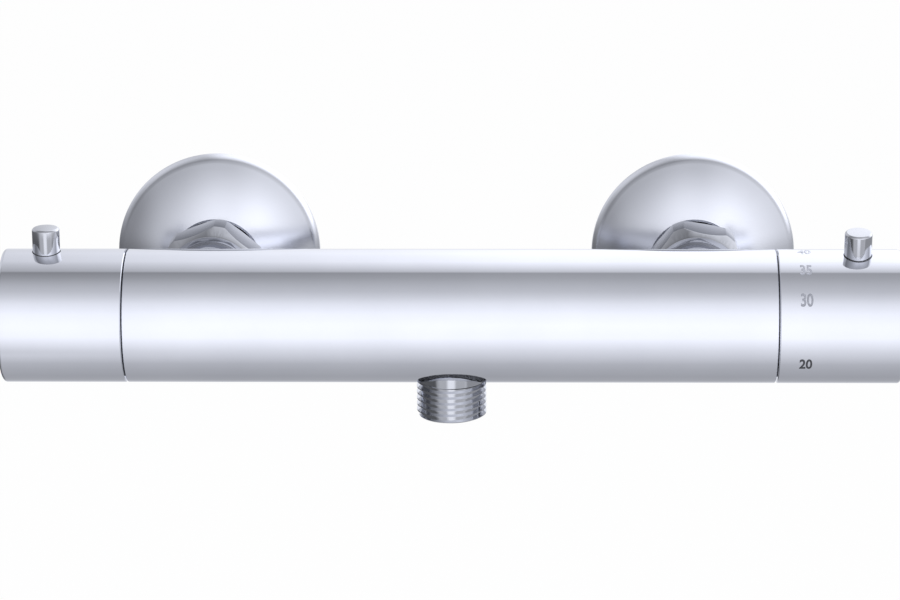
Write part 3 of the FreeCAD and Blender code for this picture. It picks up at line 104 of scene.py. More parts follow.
class NodeBoard:
    """A node tree with short calls that add nodes and join them."""

    def __init__(self, tree: bpy.types.NodeTree) -> None:
        """Start from an empty tree."""
        self.tree = tree
        self.tree.nodes.clear()

    def add(
        self,
        kind: str,
        inputs: dict[str | int, object] | None = None,
        **settings: object,
    ) -> bpy.types.Node:
        """Add a node, set its properties and fill its inputs.

        Args:
            kind: The node's type name.
            inputs: A value, or another node's output, for each input by name or place.
            settings: Properties of the node itself.

        Returns:
            The new node.
        """
        node = self.tree.nodes.new(kind)
        for name, value in settings.items():
            setattr(node, name, value)
        for name, value in (inputs or {}).items():
            if isinstance(value, bpy.types.NodeSocket):
                self.tree.links.new(value, node.inputs[name])
            else:
                node.inputs[name].default_value = value
        return node

    def math(self, operation: str, *values: object) -> bpy.types.NodeSocket:
        """Combine values or outputs in a Math node and return its output."""
        return self.add("ShaderNodeMath", dict(enumerate(values)), operation=operation).outputs[0]

    def fit(
        self, value: bpy.types.NodeSocket, start: float, end: float, low: float = 0.0, high: float = 1.0,
        curve: str = "SMOOTHSTEP",
    ) -> bpy.types.NodeSocket:
        """Stretch a range of values over another one, and hold its ends.

        Args:
            value: The output to stretch.
            start: The value that becomes the low end.
            end: The value that becomes the high end.
            low: The low end.
            high: The high end.
            curve: LINEAR for an even rise, or SMOOTHSTEP for one with soft ends.

        Returns:
            The stretched output.
        """
        inputs = {"Value": value, "From Min": start, "From Max": end, "To Min": low, "To Max": high}
        return self.add("ShaderNodeMapRange", inputs, interpolation_type=curve).outputs["Result"]

    def ramp(
        self, factor: bpy.types.NodeSocket, stops: list[tuple[float, Colour]]
    ) -> bpy.types.NodeSocket:
        """Turn a factor into a colour.

        Args:
            factor: The output that drives the ramp, from 0 to 1.
            stops: Places on the ramp in rising order, each with its colour.

        Returns:
            The ramp's colour output.
        """
        node = self.add("ShaderNodeValToRGB", {"Fac": factor})
        elements = node.color_ramp.elements
        while len(elements) > 1:
            elements.remove(elements[-1])
        elements[0].position = stops[0][0]
        elements[0].color = (*stops[0][1], 1.0)
        for place, colour in stops[1:]:
            elements.new(place).color = (*colour, 1.0)
        return node.outputs["Color"]


@dataclass(frozen=True)
class Finish:
    """A surface whose tint and gloss drift over the piece and whose relief is its own fine grain.

    Attributes:
        name: The material's name.
        dark: The darker tint.
        light: The lighter tint.
        metallic: 1 for a metal, otherwise 0.
        smoothest: The lowest roughness.
        roughest: The highest roughness.
        drift: The width of one patch of tint and gloss.
        grain: The width of one grain of the relief.
        relief: The height of the grain.
    """

    name: str
    dark: Colour
    light: Colour
    metallic: float
    smoothest: float
    roughest: float
    drift: float
    grain: float
    relief: float

    def place(self, board: NodeBoard) -> bpy.types.NodeSocket:
        """The object coordinates that all the patterns follow."""
        return board.add("ShaderNodeTexCoord").outputs["Object"]

    def grain_height(self, board: NodeBoard, place: bpy.types.NodeSocket) -> bpy.types.NodeSocket:
        """The height pattern of the grain, from 0 to 1."""
        noise = board.add(
            "ShaderNodeTexNoise",
            {"Vector": place, "Scale": 1 / self.grain, "Detail": 3.0, "Roughness": 0.6},
        )
        return noise.outputs["Fac"]

    def material(self) -> bpy.types.Material:
        """Build the material.

        Returns:
            A node material with its tint, gloss and relief worked out from object coordinates.
        """
        made = bpy.data.materials.new(self.name)
        made.use_nodes = True
        made.diffuse_color = (*self.light, 1.0)
        board = NodeBoard(made.node_tree)
        place = self.place(board)
        clouds = board.add(
            "ShaderNodeTexNoise",
            {"Vector": place, "Scale": 1 / self.drift, "Detail": 4.0, "Roughness": 0.55},
        ).outputs["Fac"]
        tint = board.ramp(clouds, [(NOISE_LOW, self.dark), (NOISE_HIGH, self.light)])
        gloss = board.fit(clouds, NOISE_LOW, NOISE_HIGH, self.smoothest, self.roughest, curve="LINEAR")
        bump = board.add(
            "ShaderNodeBump",
            {"Height": self.grain_height(board, place), "Strength": 1.0, "Distance": self.relief},
        )
        surface = board.add(
            "ShaderNodeBsdfPrincipled",
            {
                "Base Color": tint,
                "Metallic": self.metallic,
                "Roughness": gloss,
                "Normal": bump.outputs["Normal"],
            },
        )
        board.add("ShaderNodeOutputMaterial", {"Surface": surface.outputs["BSDF"]})
        return made


@dataclass(frozen=True)
class TurnedFinish(Finish):
    """Metal turned on a lathe, whose tool left fine rings round its axis.

    Attributes:
        axis: The axis that the piece was turned about.
    """

    axis: Axis = Axis.X

    def grain_height(self, board: NodeBoard, place: bpy.types.NodeSocket) -> bpy.types.NodeSocket:
        """Rings one grain apart along the axis."""
        wave = board.add(
            "ShaderNodeTexWave",
            {"Vector": place, "Scale": WAVE_WIDTH / self.grain, "Distortion": 0.6, "Detail": 2.0},
            bands_direction=self.axis.name,
        )
        return wave.outputs["Fac"]


POLISHED_CHROME = Finish(
    name="chrome", dark=(0.8, 0.815, 0.87), light=(0.845, 0.86, 0.915), metallic=1.0,
    smoothest=0.03, roughest=0.055, drift=0.03, grain=0.0004, relief=2e-7,
)
PRESSED_CHROME = replace(POLISHED_CHROME, name="pressed_chrome", smoothest=0.2, roughest=0.24)
THREAD_CHROME = Finish(
    name="thread_chrome", dark=(0.62, 0.632, 0.67), light=(0.66, 0.672, 0.71), metallic=1.0,
    smoothest=0.07, roughest=0.11, drift=0.01, grain=0.0003, relief=1e-6,
)
# Painted shade: a darker copy of the polished chrome for the union nuts, which stands in for the dark reflections
# and shade round them.
SHADED_NUT_CHROME = Finish(
    name="nut_chrome", dark=(0.42, 0.428, 0.455), light=(0.46, 0.469, 0.5), metallic=1.0,
    smoothest=0.04, roughest=0.07, drift=0.01, grain=0.0003, relief=5e-7,
)
SLOT_FINISHES: dict[Slot, Finish] = {
    Slot.POLISHED_CHROME: POLISHED_CHROME,
    Slot.RAW_BRASS: TurnedFinish(
        name="turned_brass", dark=(0.6, 0.43, 0.19), light=(0.74, 0.57, 0.29), metallic=1.0,
        smoothest=0.24, roughest=0.34, drift=0.006, grain=0.00025, relief=5e-6,
    ),
    Slot.SPRING_STEEL: Finish(
        name="drawn_steel", dark=(0.5, 0.5, 0.51), light=(0.66, 0.66, 0.67), metallic=1.0,
        smoothest=0.22, roughest=0.34, drift=0.002, grain=0.0002, relief=4e-6,
    ),
    Slot.SEAL_RUBBER: Finish(
        name="rubber", dark=(0.018, 0.018, 0.019), light=(0.034, 0.034, 0.035), metallic=0.0,
        smoothest=0.55, roughest=0.75, drift=0.003, grain=0.0003, relief=8e-6,
    ),
    Slot.WHITE_PLASTIC: Finish(
        name="white_acetal", dark=(0.78, 0.78, 0.75), light=(0.86, 0.86, 0.84), metallic=0.0,
        smoothest=0.32, roughest=0.42, drift=0.006, grain=0.0003, relief=3e-6,
    ),
    Slot.BLACK_PLASTIC: Finish(
        name="black_nylon", dark=(0.03, 0.03, 0.033), light=(0.055, 0.055, 0.06), metallic=0.0,
        smoothest=0.38, roughest=0.52, drift=0.004, grain=0.0003, relief=5e-6,
    ),
    Slot.DISC_CERAMIC: Finish(
        name="alumina", dark=(0.86, 0.85, 0.8), light=(0.93, 0.93, 0.9), metallic=0.0,
        smoothest=0.16, roughest=0.24, drift=0.002, grain=0.0001, relief=1e-6,
    ),
    Slot.ELEMENT_COPPER: Finish(
        name="copper", dark=(0.58, 0.3, 0.19), light=(0.76, 0.44, 0.3), metallic=1.0,
        smoothest=0.24, roughest=0.36, drift=0.004, grain=0.0004, relief=3e-6,
    ),
}


class Finishes:
    """The materials of all the finishes, each made once."""

    def __init__(self) -> None:
        """Make no material yet."""
        self.made: dict[str, bpy.types.Material] = {}

    def of(self, finish: Finish) -> bpy.types.Material:
        """The material of a finish, made on its first use."""
        if finish.name not in self.made:
            self.made[finish.name] = finish.material()
        return self.made[finish.name]

    def get(self, slot: Slot, axis: Axis = Axis.X) -> bpy.types.Material:
        """The material of a slot.

        Args:
            slot: The slot to dress.
            axis: The axis that a turned piece was turned about.

        Returns:
            The slot's material.
        """
        finish = SLOT_FINISHES[slot]
        if isinstance(finish, TurnedFinish):
            finish = replace(finish, name=f"{finish.name}_{axis.name.lower()}", axis=axis)
        return self.of(finish)


def dress(piece: bpy.types.Object, material: bpy.types.Material) -> None:
    """Give a piece one material all over."""
    piece.data.materials.clear()
    piece.data.materials.append(material)


def deselect() -> None:
    """Leave edit mode and deselect everything, so that the next operator acts on new pieces only."""
    if bpy.context.object is not None and bpy.context.object.mode != "OBJECT":
        bpy.ops.object.mode_set(mode="OBJECT")
    bpy.ops.object.select_all(action="DESELECT")


def shape_up(piece: bpy.types.Object, kind: str, **settings: object) -> None:
    """Put a modifier on a piece and apply it.

    Args:
        piece: The piece to change.
        kind: The modifier's type name.
        settings: The modifier's properties.
    """
    modifier = piece.modifiers.new(kind.lower(), kind)
    for name, value in settings.items():
        setattr(modifier, name, value)
    bpy.context.view_layer.objects.active = piece
    bpy.ops.object.modifier_apply(modifier=modifier.name)


def combine(piece: bpy.types.Object, tool: bpy.types.Object, operation: str) -> None:
    """Join, cut or trim a piece with a second shape, which is used up.

    Args:
        piece: The piece to change.
        tool: The shape to change it with.
        operation: UNION, DIFFERENCE or INTERSECT.
    """
    deselect()
    shape_up(piece, "BOOLEAN", object=tool, operation=operation, solver="EXACT")
    bpy.data.objects.remove(tool)


def turned_shell(name: str, outline: Outline, segments: int = 96) -> bpy.types.Object:
    """Turn an outline about the Z axis, one ring after another.

    Args:
        name: The piece's name.
        outline: Height and radius of each ring. One that ends where it starts makes a tube, and any other
            makes a solid with flat ends.
        segments: How many faces go round the piece.

    Returns:
        The closed piece.
    """
    deselect()
    place, radius = outline[0]
    bpy.ops.mesh.primitive_circle_add(vertices=segments, radius=radius, location=(0, 0, 0))
    piece = bpy.context.object
    piece.name = name
    bpy.ops.object.mode_set(mode="EDIT")
    bpy.ops.transform.translate(value=(0, 0, place))
    if outline[0] != outline[-1]:
        bpy.ops.mesh.edge_face_add()
        bpy.ops.mesh.select_all(action="SELECT")
    for next_place, next_radius in outline[1:]:
        bpy.ops.mesh.extrude_region_move(TRANSFORM_OT_translate={"value": (0, 0, next_place - place)})
        share = next_radius / radius
        bpy.ops.transform.resize(value=(share, share, 1), center_override=(0, 0, next_place))
        place, radius = next_place, next_radius
    bpy.ops.mesh.select_all(action="SELECT")
    bpy.ops.mesh.remove_doubles(threshold=SAME_POINT)
    bpy.ops.mesh.normals_make_consistent(inside=False)
    bpy.ops.object.mode_set(mode="OBJECT")
    return piece


def copy_of(node: str, name: str, same_plane: float = 0.0) -> bpy.types.Object:
    """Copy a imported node's mesh to a piece of its own, with its loose triangles joined.

    Args:
        node: The node to copy.
        name: The piece's name.
        same_plane: The angle in degrees under which two faces become one, or 0 to keep them all.

    Returns:
        The copy, selected and active.
    """
    deselect()
    piece = bpy.data.objects.new(name, frame["nodes"][node].data.copy())
    bpy.context.scene.collection.objects.link(piece)
    piece.select_set(True)
    bpy.context.view_layer.objects.active = piece
    bpy.ops.mesh.customdata_custom_splitnormals_clear()
    bpy.ops.object.mode_set(mode="EDIT")
    bpy.ops.mesh.select_all(action="SELECT")
    bpy.ops.mesh.remove_doubles(threshold=SAME_NODE_POINT)
    if same_plane > 0:
        bpy.ops.mesh.dissolve_limited(angle_limit=math.radians(same_plane))
    bpy.ops.object.mode_set(mode="OBJECT")
    return piece


def body_of(node: str) -> str:
    """The body that carries a node."""
    bodies = frame["record"]["behaviour"]["bodies"]
    return next(name for name, nodes in bodies.items() if node in nodes)


def joint_of(name: str) -> dict[str, object]:
    """The frame's entry of a joint."""
    return next(joint for joint in frame["joints"] if joint["name"] == name)


def settle(piece: bpy.types.Object, at: Vector, along: Vector) -> None:
    """Turn a piece's mesh so that its Z axis points along a direction, and move its start to a place."""
    turn = Vector((0, 0, 1)).rotation_difference(along).to_matrix().to_4x4()
    piece.data.transform(Matrix.Translation(at) @ turn)


def smooth(piece: bpy.types.Object, sharpest: float = 30.0) -> None:
    """Shade a piece smooth except along its sharp edges.

    Args:
        piece: The piece to shade.
        sharpest: The largest angle between two faces that are shaded as one, in degrees.
    """
    deselect()
    piece.select_set(True)
    bpy.context.view_layer.objects.active = piece
    bpy.ops.object.shade_smooth_by_angle(angle=math.radians(sharpest))


def bar_axis() -> Vector:
    """The middle of the bar, on its own axis."""
    low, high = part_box("temp_handle")
    return Vector((0, (low.y + high.y) / 2, (low.z + high.z) / 2))


@dataclass
class PipeThread:
    """A parallel half-inch pipe thread, cut as one right-handed helix.

    Attributes:
        crest_radius: The radius over the ridges.
        depth: The ridge's height.
        pitch: The distance from one ridge to the next.
        crest_flat: The width of a ridge's top.
        root_flat: The width of the bottom between two ridges.
        sunk: How deep a ridge's foot reaches into the piece that carries it.
        lead_in: The length of the chamfer at the free end.
        lead_height: The ridge's height at the end of that chamfer, as a share of its depth.
        end_gap: How far the ridge stops short of the free end.
        steps: How many faces one turn has.
    """

    crest_radius: float = 10.4775 * MM
    depth: float = 1.162 * MM
    pitch: float = 1.814 * MM
    crest_flat: float = 0.3 * MM
    root_flat: float = 0.2 * MM
    sunk: float = 0.15 * MM
    lead_in: float = 0.9 * MM
    lead_height: float = 0.2
    end_gap: float = 0.02 * MM
    steps: int = 96

    @property
    def root_radius(self) -> float:
        """The radius between the ridges."""
        return self.crest_radius - self.depth

    def ridge(self, start: float, turns: int) -> bpy.types.Object:
        """One ridge wound up the Z axis.

        Args:
            start: The height of the ridge's middle on the X axis, where it begins.
            turns: How many times it goes round.

        Returns:
            The closed ridge.
        """
        deselect()
        bpy.ops.mesh.primitive_plane_add(size=1.0, location=(0, 0, 0), rotation=(math.pi / 2, 0, 0))
        ridge = bpy.context.object
        bpy.ops.object.transform_apply(location=False, rotation=True, scale=False)
        height = self.depth + self.sunk
        foot = self.pitch - self.root_flat
        bpy.ops.object.mode_set(mode="EDIT")
        bpy.ops.transform.resize(value=(height, 1, foot), center_override=(0, 0, 0))
        middle = self.crest_radius - height / 2
        bpy.ops.transform.translate(value=(middle, 0, start))
        bpy.ops.object.mode_set(mode="OBJECT")
        for vertex in ridge.data.vertices:
            vertex.select = vertex.co.x > middle
        bpy.ops.object.mode_set(mode="EDIT")
        bpy.ops.transform.resize(value=(1, 1, self.crest_flat / foot), center_override=(0, 0, start))
        bpy.ops.mesh.select_all(action="SELECT")
        bpy.ops.mesh.delete(type="ONLY_FACE")
        bpy.ops.object.mode_set(mode="OBJECT")
        shape_up(
            ridge, "SCREW", axis="Z", angle=2 * math.pi, screw_offset=self.pitch, iterations=turns,
            steps=self.steps, render_steps=self.steps,
        )
        bpy.ops.object.mode_set(mode="EDIT")
        bpy.ops.mesh.select_all(action="SELECT")
        bpy.ops.mesh.fill_holes(sides=4)
        bpy.ops.mesh.select_all(action="SELECT")
        bpy.ops.mesh.normals_make_consistent(inside=False)
        bpy.ops.object.mode_set(mode="OBJECT")
        return ridge

    def cut_on(self, piece: bpy.types.Object, start: float, end: float, first_crest: float) -> None:
        """Add the thread to a piece that has the root's radius there.

        Args:
            piece: The piece, turned about the Z axis.
            start: The height at which the thread begins, next to the piece's shoulder.
            end: The height of the thread's free end.
            first_crest: The height of a crest on the X axis, below the thread's start.
        """
        turns = math.ceil((end - first_crest) / self.pitch) + 1
        ridge = self.ridge(first_crest, turns)
        over = self.crest_radius + self.sunk
        inside = self.root_radius - 2 * self.sunk
        edge = self.root_radius + self.lead_height * self.depth
        stop = end - self.end_gap
        sleeve = turned_shell("sleeve", [
            (start, inside),
            (start, over),
            (end - self.lead_in, over),
            (stop, edge),
            (stop, inside),
            (start, inside),
        ])
        combine(ridge, sleeve, "INTERSECT")
        combine(piece, ridge, "UNION")


@dataclass
class OutletNipple:
    """The outlet under the bar: a spigot in the bar, a smooth neck and the hose thread.

    Attributes:
        thread: The hose thread.
        bore_radius: The waterway's radius.
        spigot_radius: The radius of the part that the bar holds.
        seal_depth: The depth of the groove for the sealing ring in it.
        seal_length: The length of that groove.
        seat: The depth of the neck's shoulder below the bar's axis.
        neck_end: The depth at which the thread starts.
        neck_radius: The neck's radius.
        crest_depth: The depth of a crest at the outlet's right side.
        edge: The chamfer at the mouth.
    """

    thread: PipeThread = field(default_factory=PipeThread)
    bore_radius: float = 7.0 * MM
    spigot_radius: float = 8.5 * MM
    seal_depth: float = 0.9 * MM
    seal_length: float = 1.9 * MM
    seat: float = 16.8 * MM
    neck_end: float = 20.1 * MM
    neck_radius: float = 10.3 * MM
    crest_depth: float = 18.7 * MM
    edge: float = 0.35 * MM

    def build(self, finish: bpy.types.Material) -> bpy.types.Object:
        """Make the nipple in place of its plain node.

        Args:
            finish: Its plating.

        Returns:
            The nipple.
        """
        low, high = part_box("outlet_nipple")
        top, bottom = -high.z, -low.z
        root = self.thread.root_radius
        groove = self.spigot_radius - self.seal_depth
        nipple = turned_shell("outlet_nipple_thread", [
            (top, self.bore_radius),
            (top, self.spigot_radius),
            (self.seat - self.seal_length, self.spigot_radius),
            (self.seat - self.seal_length, groove),
            (self.seat, groove),
            (self.seat, self.neck_radius),
            (self.neck_end - self.edge, self.neck_radius),
            (self.neck_end, self.neck_radius - self.edge),
            (self.neck_end, root),
            (bottom - self.edge, root),
            (bottom, root - self.edge),
            (bottom, self.bore_radius + self.edge),
            (bottom - self.edge, self.bore_radius),
            (top, self.bore_radius),
        ])
        self.thread.cut_on(nipple, self.neck_end - self.edge, bottom, self.crest_depth)
        settle(nipple, bar_axis(), Vector((0, 0, -1)))
        smooth(nipple)
        dress(nipple, finish)
        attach(nipple, "valve")
        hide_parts("outlet_nipple")
        return nipple


@dataclass
class WallUnion:
    """A straight union: a smooth barrel in the union nut, the wall thread and a hexagon key's socket.

    Attributes:
        side: The name of its inlet, hot or cold.
        thread: The wall thread.
        barrel_radius: The barrel's radius.
        bore_radius: The waterway's radius in the barrel.
        tail_bore_radius: The waterway's radius in the wall thread.
        key_flats: The key socket's width over its flats.
        key_start: The distance from the union's front to the socket.
        key_length: The socket's length.
        key_core: How far the round hole through the socket's middle stays inside its flats.
        edge: The chamfer at the ends.
    """

    side: str
    thread: PipeThread = field(default_factory=PipeThread)
    barrel_radius: float = 13.2205 * MM
    bore_radius: float = 7.5 * MM
    tail_bore_radius: float = 7.0 * MM
    key_flats: float = 12.0 * MM
    key_start: float = 13.8 * MM
    key_length: float = 10.0 * MM
    key_core: float = 0.5 * MM
    edge: float = 0.4 * MM

    def build(self, finish: bpy.types.Material) -> bpy.types.Object:
        """Make the union in place of its plain node.

        Args:
            finish: Its plating.

        Returns:
            The union.
        """
        low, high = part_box(f"{self.side}_wall_union")
        length = high.y - low.y
        shoulder = -low.y
        root = self.thread.root_radius
        key_end = self.key_start + self.key_length
        key_inside = self.key_flats / 2 - self.key_core
        key_corner = self.key_flats / math.sqrt(3)
        union = turned_shell(f"{self.side}_wall_union_thread", [
            (0, self.bore_radius),
            (0, self.barrel_radius - self.edge),
            (self.edge, self.barrel_radius),
            (shoulder - self.edge, self.barrel_radius),
            (shoulder, self.barrel_radius - self.edge),
            (shoulder, root),
            (length - self.edge, root),
            (length, root - self.edge),
            (length, self.tail_bore_radius),
            (key_end, self.tail_bore_radius),
            (key_end, key_inside),
            (self.key_start, key_inside),
            (self.key_start, self.bore_radius),
            (0, self.bore_radius),
        ])
        key = turned_shell("key", [
            (self.key_start - MM, key_corner),
            (key_end + MM, key_corner),
        ], segments=6)
        combine(union, key, "DIFFERENCE")
        self.thread.cut_on(union, shoulder - self.edge / 2, length, shoulder - self.thread.pitch)
        middle = (low + high) / 2
        settle(union, Vector((middle.x, low.y, middle.z)), Axis.Y.vector())
        smooth(union)
        dress(union, finish)
        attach(union, "valve")
        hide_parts(f"{self.side}_wall_union")
        return union


@dataclass
class EasedPiece:
    """A node with its edges eased as a polished metal piece has them.

    Attributes:
        node: The node that it stands for.
        ease: The width of an eased edge.
        same_plane: The angle between two faces of the node, in degrees, under which they are one.
        sharpest: The least angle between two faces whose edge is eased, in degrees.
        rounds: How many faces go round an eased edge.
        smooth_to: The largest angle between two faces that are shaded as one, in degrees.
    """

    node: str
    ease: float
    same_plane: float = 0.5
    sharpest: float = 25.0
    rounds: int = 3
    smooth_to: float = 40.0

    def build(self, finish: bpy.types.Material) -> bpy.types.Object:
        """Make the eased piece in place of its node.

        Args:
            finish: Its plating.

        Returns:
            The eased piece.
        """
        piece = copy_of(self.node, f"{self.node}_eased", self.same_plane)
        shape_up(
            piece, "BEVEL", width=self.ease, segments=self.rounds, limit_method="ANGLE",
            angle_limit=math.radians(self.sharpest), harden_normals=False,
        )
        smooth(piece, self.smooth_to)
        dress(piece, finish)
        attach(piece, body_of(self.node))
        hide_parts(self.node)
        return piece


@dataclass
class CoilSpring:
    """A closing spring, copied from its node and shaded smooth.

    Attributes:
        node: The node that it stands for.
        joint: The joint that presses it. Not used.
        axis: The axis that it is wound about.
        smooth_to: The largest angle between two faces that are shaded as one, in degrees.
    """

    node: str
    joint: str
    axis: Axis
    smooth_to: float = 50.0

    def build(self, finish: bpy.types.Material) -> bpy.types.Object:
        """Make the spring in place of its node.

        Args:
            finish: Its wire's surface.

        Returns:
            The spring.
        """
        piece = copy_of(self.node, f"{self.node}_coil")
        smooth(piece, self.smooth_to)
        dress(piece, finish)
        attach(piece, body_of(self.node))
        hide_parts(self.node)
        self.axis.vector()
        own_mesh(piece)
        return piece


@dataclass
class PinSeal:
    """The thin dark ring that shows as a line round a grip pin's foot: painted shade, which stands in for the
    shadow in the gap between the pin and the handle.

    Attributes:
        side: The handle that it lies on, "flow" or "temp".
        overhang: How far it reaches past the pin.
        thickness: How far it stands above the handle.
        bedding: How far it reaches into the handle's surface.
        roller_faces: How many faces go round the shapes that trim it to the handle's roundness.
    """

    side: str
    overhang: float = 0.16 * MM
    thickness: float = 0.08 * MM
    bedding: float = 0.05 * MM
    roller_faces: int = 256

    def roller(self, middle: Vector, radius: float, half_length: float) -> bpy.types.Object:
        """Make a round bar along the valve's own axis, to trim the seal with.

        Args:
            middle: The bar's middle.
            radius: Its radius.
            half_length: Half its length.

        Returns:
            The bar.
        """
        outline = [(-half_length, radius), (half_length, radius)]
        piece = turned_shell("roller", outline, segments=self.roller_faces)
        settle(piece, middle, Axis.X.vector())
        return piece

    def build(self, finish: bpy.types.Material) -> bpy.types.Object:
        """Make the dark ring of painted shade and set it round its pin.

        Args:
            finish: The dark rubber that gives it its painted shade.

        Returns:
            The dark ring.
        """
        low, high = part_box(f"{self.side}_grip_pin")
        middle = bar_axis()
        middle.x = (low.x + high.x) / 2
        along = (low + high) / 2 - middle
        reach = 2 * along.length
        along.normalize()
        pin_r = (high.x - low.x) / 2
        handle_low, handle_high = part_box(f"{self.side}_handle")
        handle_r = (handle_high.z - handle_low.z) / 2
        outer_r = pin_r + self.overhang
        # A thin dark ring of painted shade round the pin's foot, where the gap's shadow falls.
        shadow_ring = turned_shell(f"{self.side}_pin_seal", [(0, outer_r), (reach, outer_r)])
        settle(shadow_ring, middle, along)
        combine(shadow_ring, self.roller(middle, handle_r + self.thickness, reach), "INTERSECT")
        combine(shadow_ring, self.roller(middle, handle_r - self.bedding, reach), "DIFFERENCE")
        hole = turned_shell("pin_hole", [(0, pin_r), (reach, pin_r)])
        settle(hole, middle, along)
        combine(shadow_ring, hole, "DIFFERENCE")
        smooth(shadow_ring)
        dress(shadow_ring, finish)
        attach(shadow_ring, f"{self.side}_handle_body")
        return shadow_ring


@dataclass
class PrintedScale:
    """The plain numbers printed round the temperature handle.

    Attributes:
        readings: The temperatures that the scale shows.
        top_reading: The one that stands at the top while the handle is at rest.
        bottom_reading: The one that comes to the top at the handle's coldest stop.
        height: The height of a digit round the handle.
        squeeze: The width of a digit as a share of its usual width.
        weight: How much the digits' strokes are thickened, as a share of the usual letter size.
        from_rim: The distance of the numbers' middle from the handle's rim.
        slices: How many bands each number is cut into so that it bends round the handle.
        film: The thickness of the print.
        shades: The shade of the ink of each, painted paler the nearer the number stands to the handle's top at
            rest, where the light falls from above: print with painted light and shade.
        hue: The share of the shade that the ink takes in each channel.
        lightest: The share of its shade that the ink has at its lightest.
    """

    readings: tuple[int, ...] = (20, 30, 35, 40, 45, 50)
    top_reading: int = 40
    bottom_reading: int = 20
    height: float = 4.0 * MM
    squeeze: float = 0.72
    weight: float = 0.025
    from_rim: float = 7.8 * MM
    slices: int = 10
    film: float = 0.03 * MM
    # Painted light and shade: each number's ink is paler the nearer it stands to the handle's top at rest.
    shades: tuple[float, ...] = (0.05, 0.33, 0.42, 0.7, 0.42, 0.33)
    hue: Colour = (0.93, 0.96, 1.08)
    lightest: float = 1.15

    def degrees_each(self) -> float:
        """How far the handle turns for one degree of temperature."""
        coldest = joint_of("temp_handle_turn")["range_deg"][0]
        return -coldest / (self.top_reading - self.bottom_reading)

    def flat_number(self, reading: int) -> bpy.types.Object:
        """Make one number as a flat mesh in the XY plane, centred on the origin.

        Args:
            reading: The number to write.

        Returns:
            The number, cut into bands across its height.
        """
        deselect()
        bpy.ops.object.text_add()
        text = bpy.context.object
        text.name = f"scale_{reading}"
        text.data.body = str(reading)
        text.data.align_x = "CENTER"
        text.data.offset = self.weight
        bpy.ops.object.convert(target="MESH")
        number = bpy.context.object
        low = Vector([min(v.co[i] for v in number.data.vertices) for i in range(3)])
        high = Vector([max(v.co[i] for v in number.data.vertices) for i in range(3)])
        scale = self.height / (high.y - low.y)
        centre = (low + high) / 2
        shrink = Matrix.Diagonal((scale * self.squeeze, scale, scale, 1.0))
        number.data.transform(shrink @ Matrix.Translation(-centre))
        bpy.ops.object.mode_set(mode="EDIT")
        for i in range(1, self.slices):
            bpy.ops.mesh.select_all(action="SELECT")
            level = self.height * (i / self.slices - 0.5)
            bpy.ops.mesh.bisect(plane_co=(0, level, 0), plane_no=(0, 1, 0))
        bpy.ops.object.mode_set(mode="OBJECT")
        return number

    def ink(self, reading: int, lit_shade: float) -> bpy.types.Material:
        """Make the print of one number.

        Args:
            reading: The number, which the material is named after.
            lit_shade: Its shade of grey, which carries the painted light and shade of its place round the handle.

        Returns:
            The ink's material.
        """
        dark = tuple(share * lit_shade for share in self.hue)
        light = tuple(min(1.0, self.lightest * channel) for channel in dark)
        return Finish(
            name=f"print_{reading}", dark=dark, light=light, metallic=0.0,
            smoothest=0.32, roughest=0.42, drift=0.002, grain=0.0001, relief=1e-6,
        ).material()

    def build(self) -> list[bpy.types.Object]:
        """Print every number on the handle and return them."""
        numbers = []
        low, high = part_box("temp_handle")
        radius = (high.z - low.z) / 2
        centre_y = (low.y + high.y) / 2
        centre_x = low.x + self.from_rim
        for reading, lit_shade in zip(self.readings, self.shades):
            number = self.flat_number(reading)
            above_front = 90 + (reading - self.top_reading) * self.degrees_each()
            for vertex in number.data.vertices:
                angle = math.radians(above_front) + vertex.co.y / radius
                vertex.co = Vector((
                    centre_x + vertex.co.x,
                    centre_y - radius * math.cos(angle),
                    radius * math.sin(angle),
                ))
            shape_up(number, "SOLIDIFY", thickness=self.film, offset=1.0)
            dress(number, self.ink(reading, lit_shade))
            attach(number, "temp_handle_body")
            numbers.append(number)
        return numbers


@dataclass
class Dressing:
    """The carried-over pieces of the frame, each with its slot's finish.

    Attributes:
        finishes: The materials.
    """

    finishes: Finishes

    def axis_of(self, node: str) -> Axis:
        """Find the axis that a turned piece was turned about.

        Args:
            node: The piece's node.

        Returns:
            The axis of its inlet, of the outlet or of the bar.
        """
        if node.startswith(("hot_", "cold_")):
            return Axis.Y
        if node.startswith("outlet_"):
            return Axis.Z
        return Axis.X

    def build(self) -> None:
        """Give every node its finish."""
        for subpart in frame["record"]["subparts"]:
            node = subpart["node"]
            if node.endswith("dome_flange"):
                material = self.finishes.of(PRESSED_CHROME)
            else:
                material = self.finishes.get(Slot(subpart["material_slot"]), self.axis_of(node))
            dress(frame["nodes"][node], material)


@dataclass(frozen=True)
class Card:
    """A soft-edged card of the studio that the chrome mirrors. Angles are in degrees.

    Attributes:
        heading: Where its middle stands, right of the front.
        height: Its middle's elevation.
        half_width: Half its width.
        half_height: Half its height.
        edge: The width of its soft edge.
        strength: How bright it is.
        cover: How much of what lies behind it the card hides.
    """

    heading: float
    height: float
    half_width: float
    half_height: float
    edge: float
    strength: float
    cover: float = 1.0


@dataclass(frozen=True)
class Lamp:
    """A soft square lamp that is turned to the origin.

    Attributes:
        name: Its name.
        place: Where it hangs.
        width: The width of its face.
        power: Its power in watts.
    """

    name: str
    place: tuple[float, float, float]
    width: float
    power: float


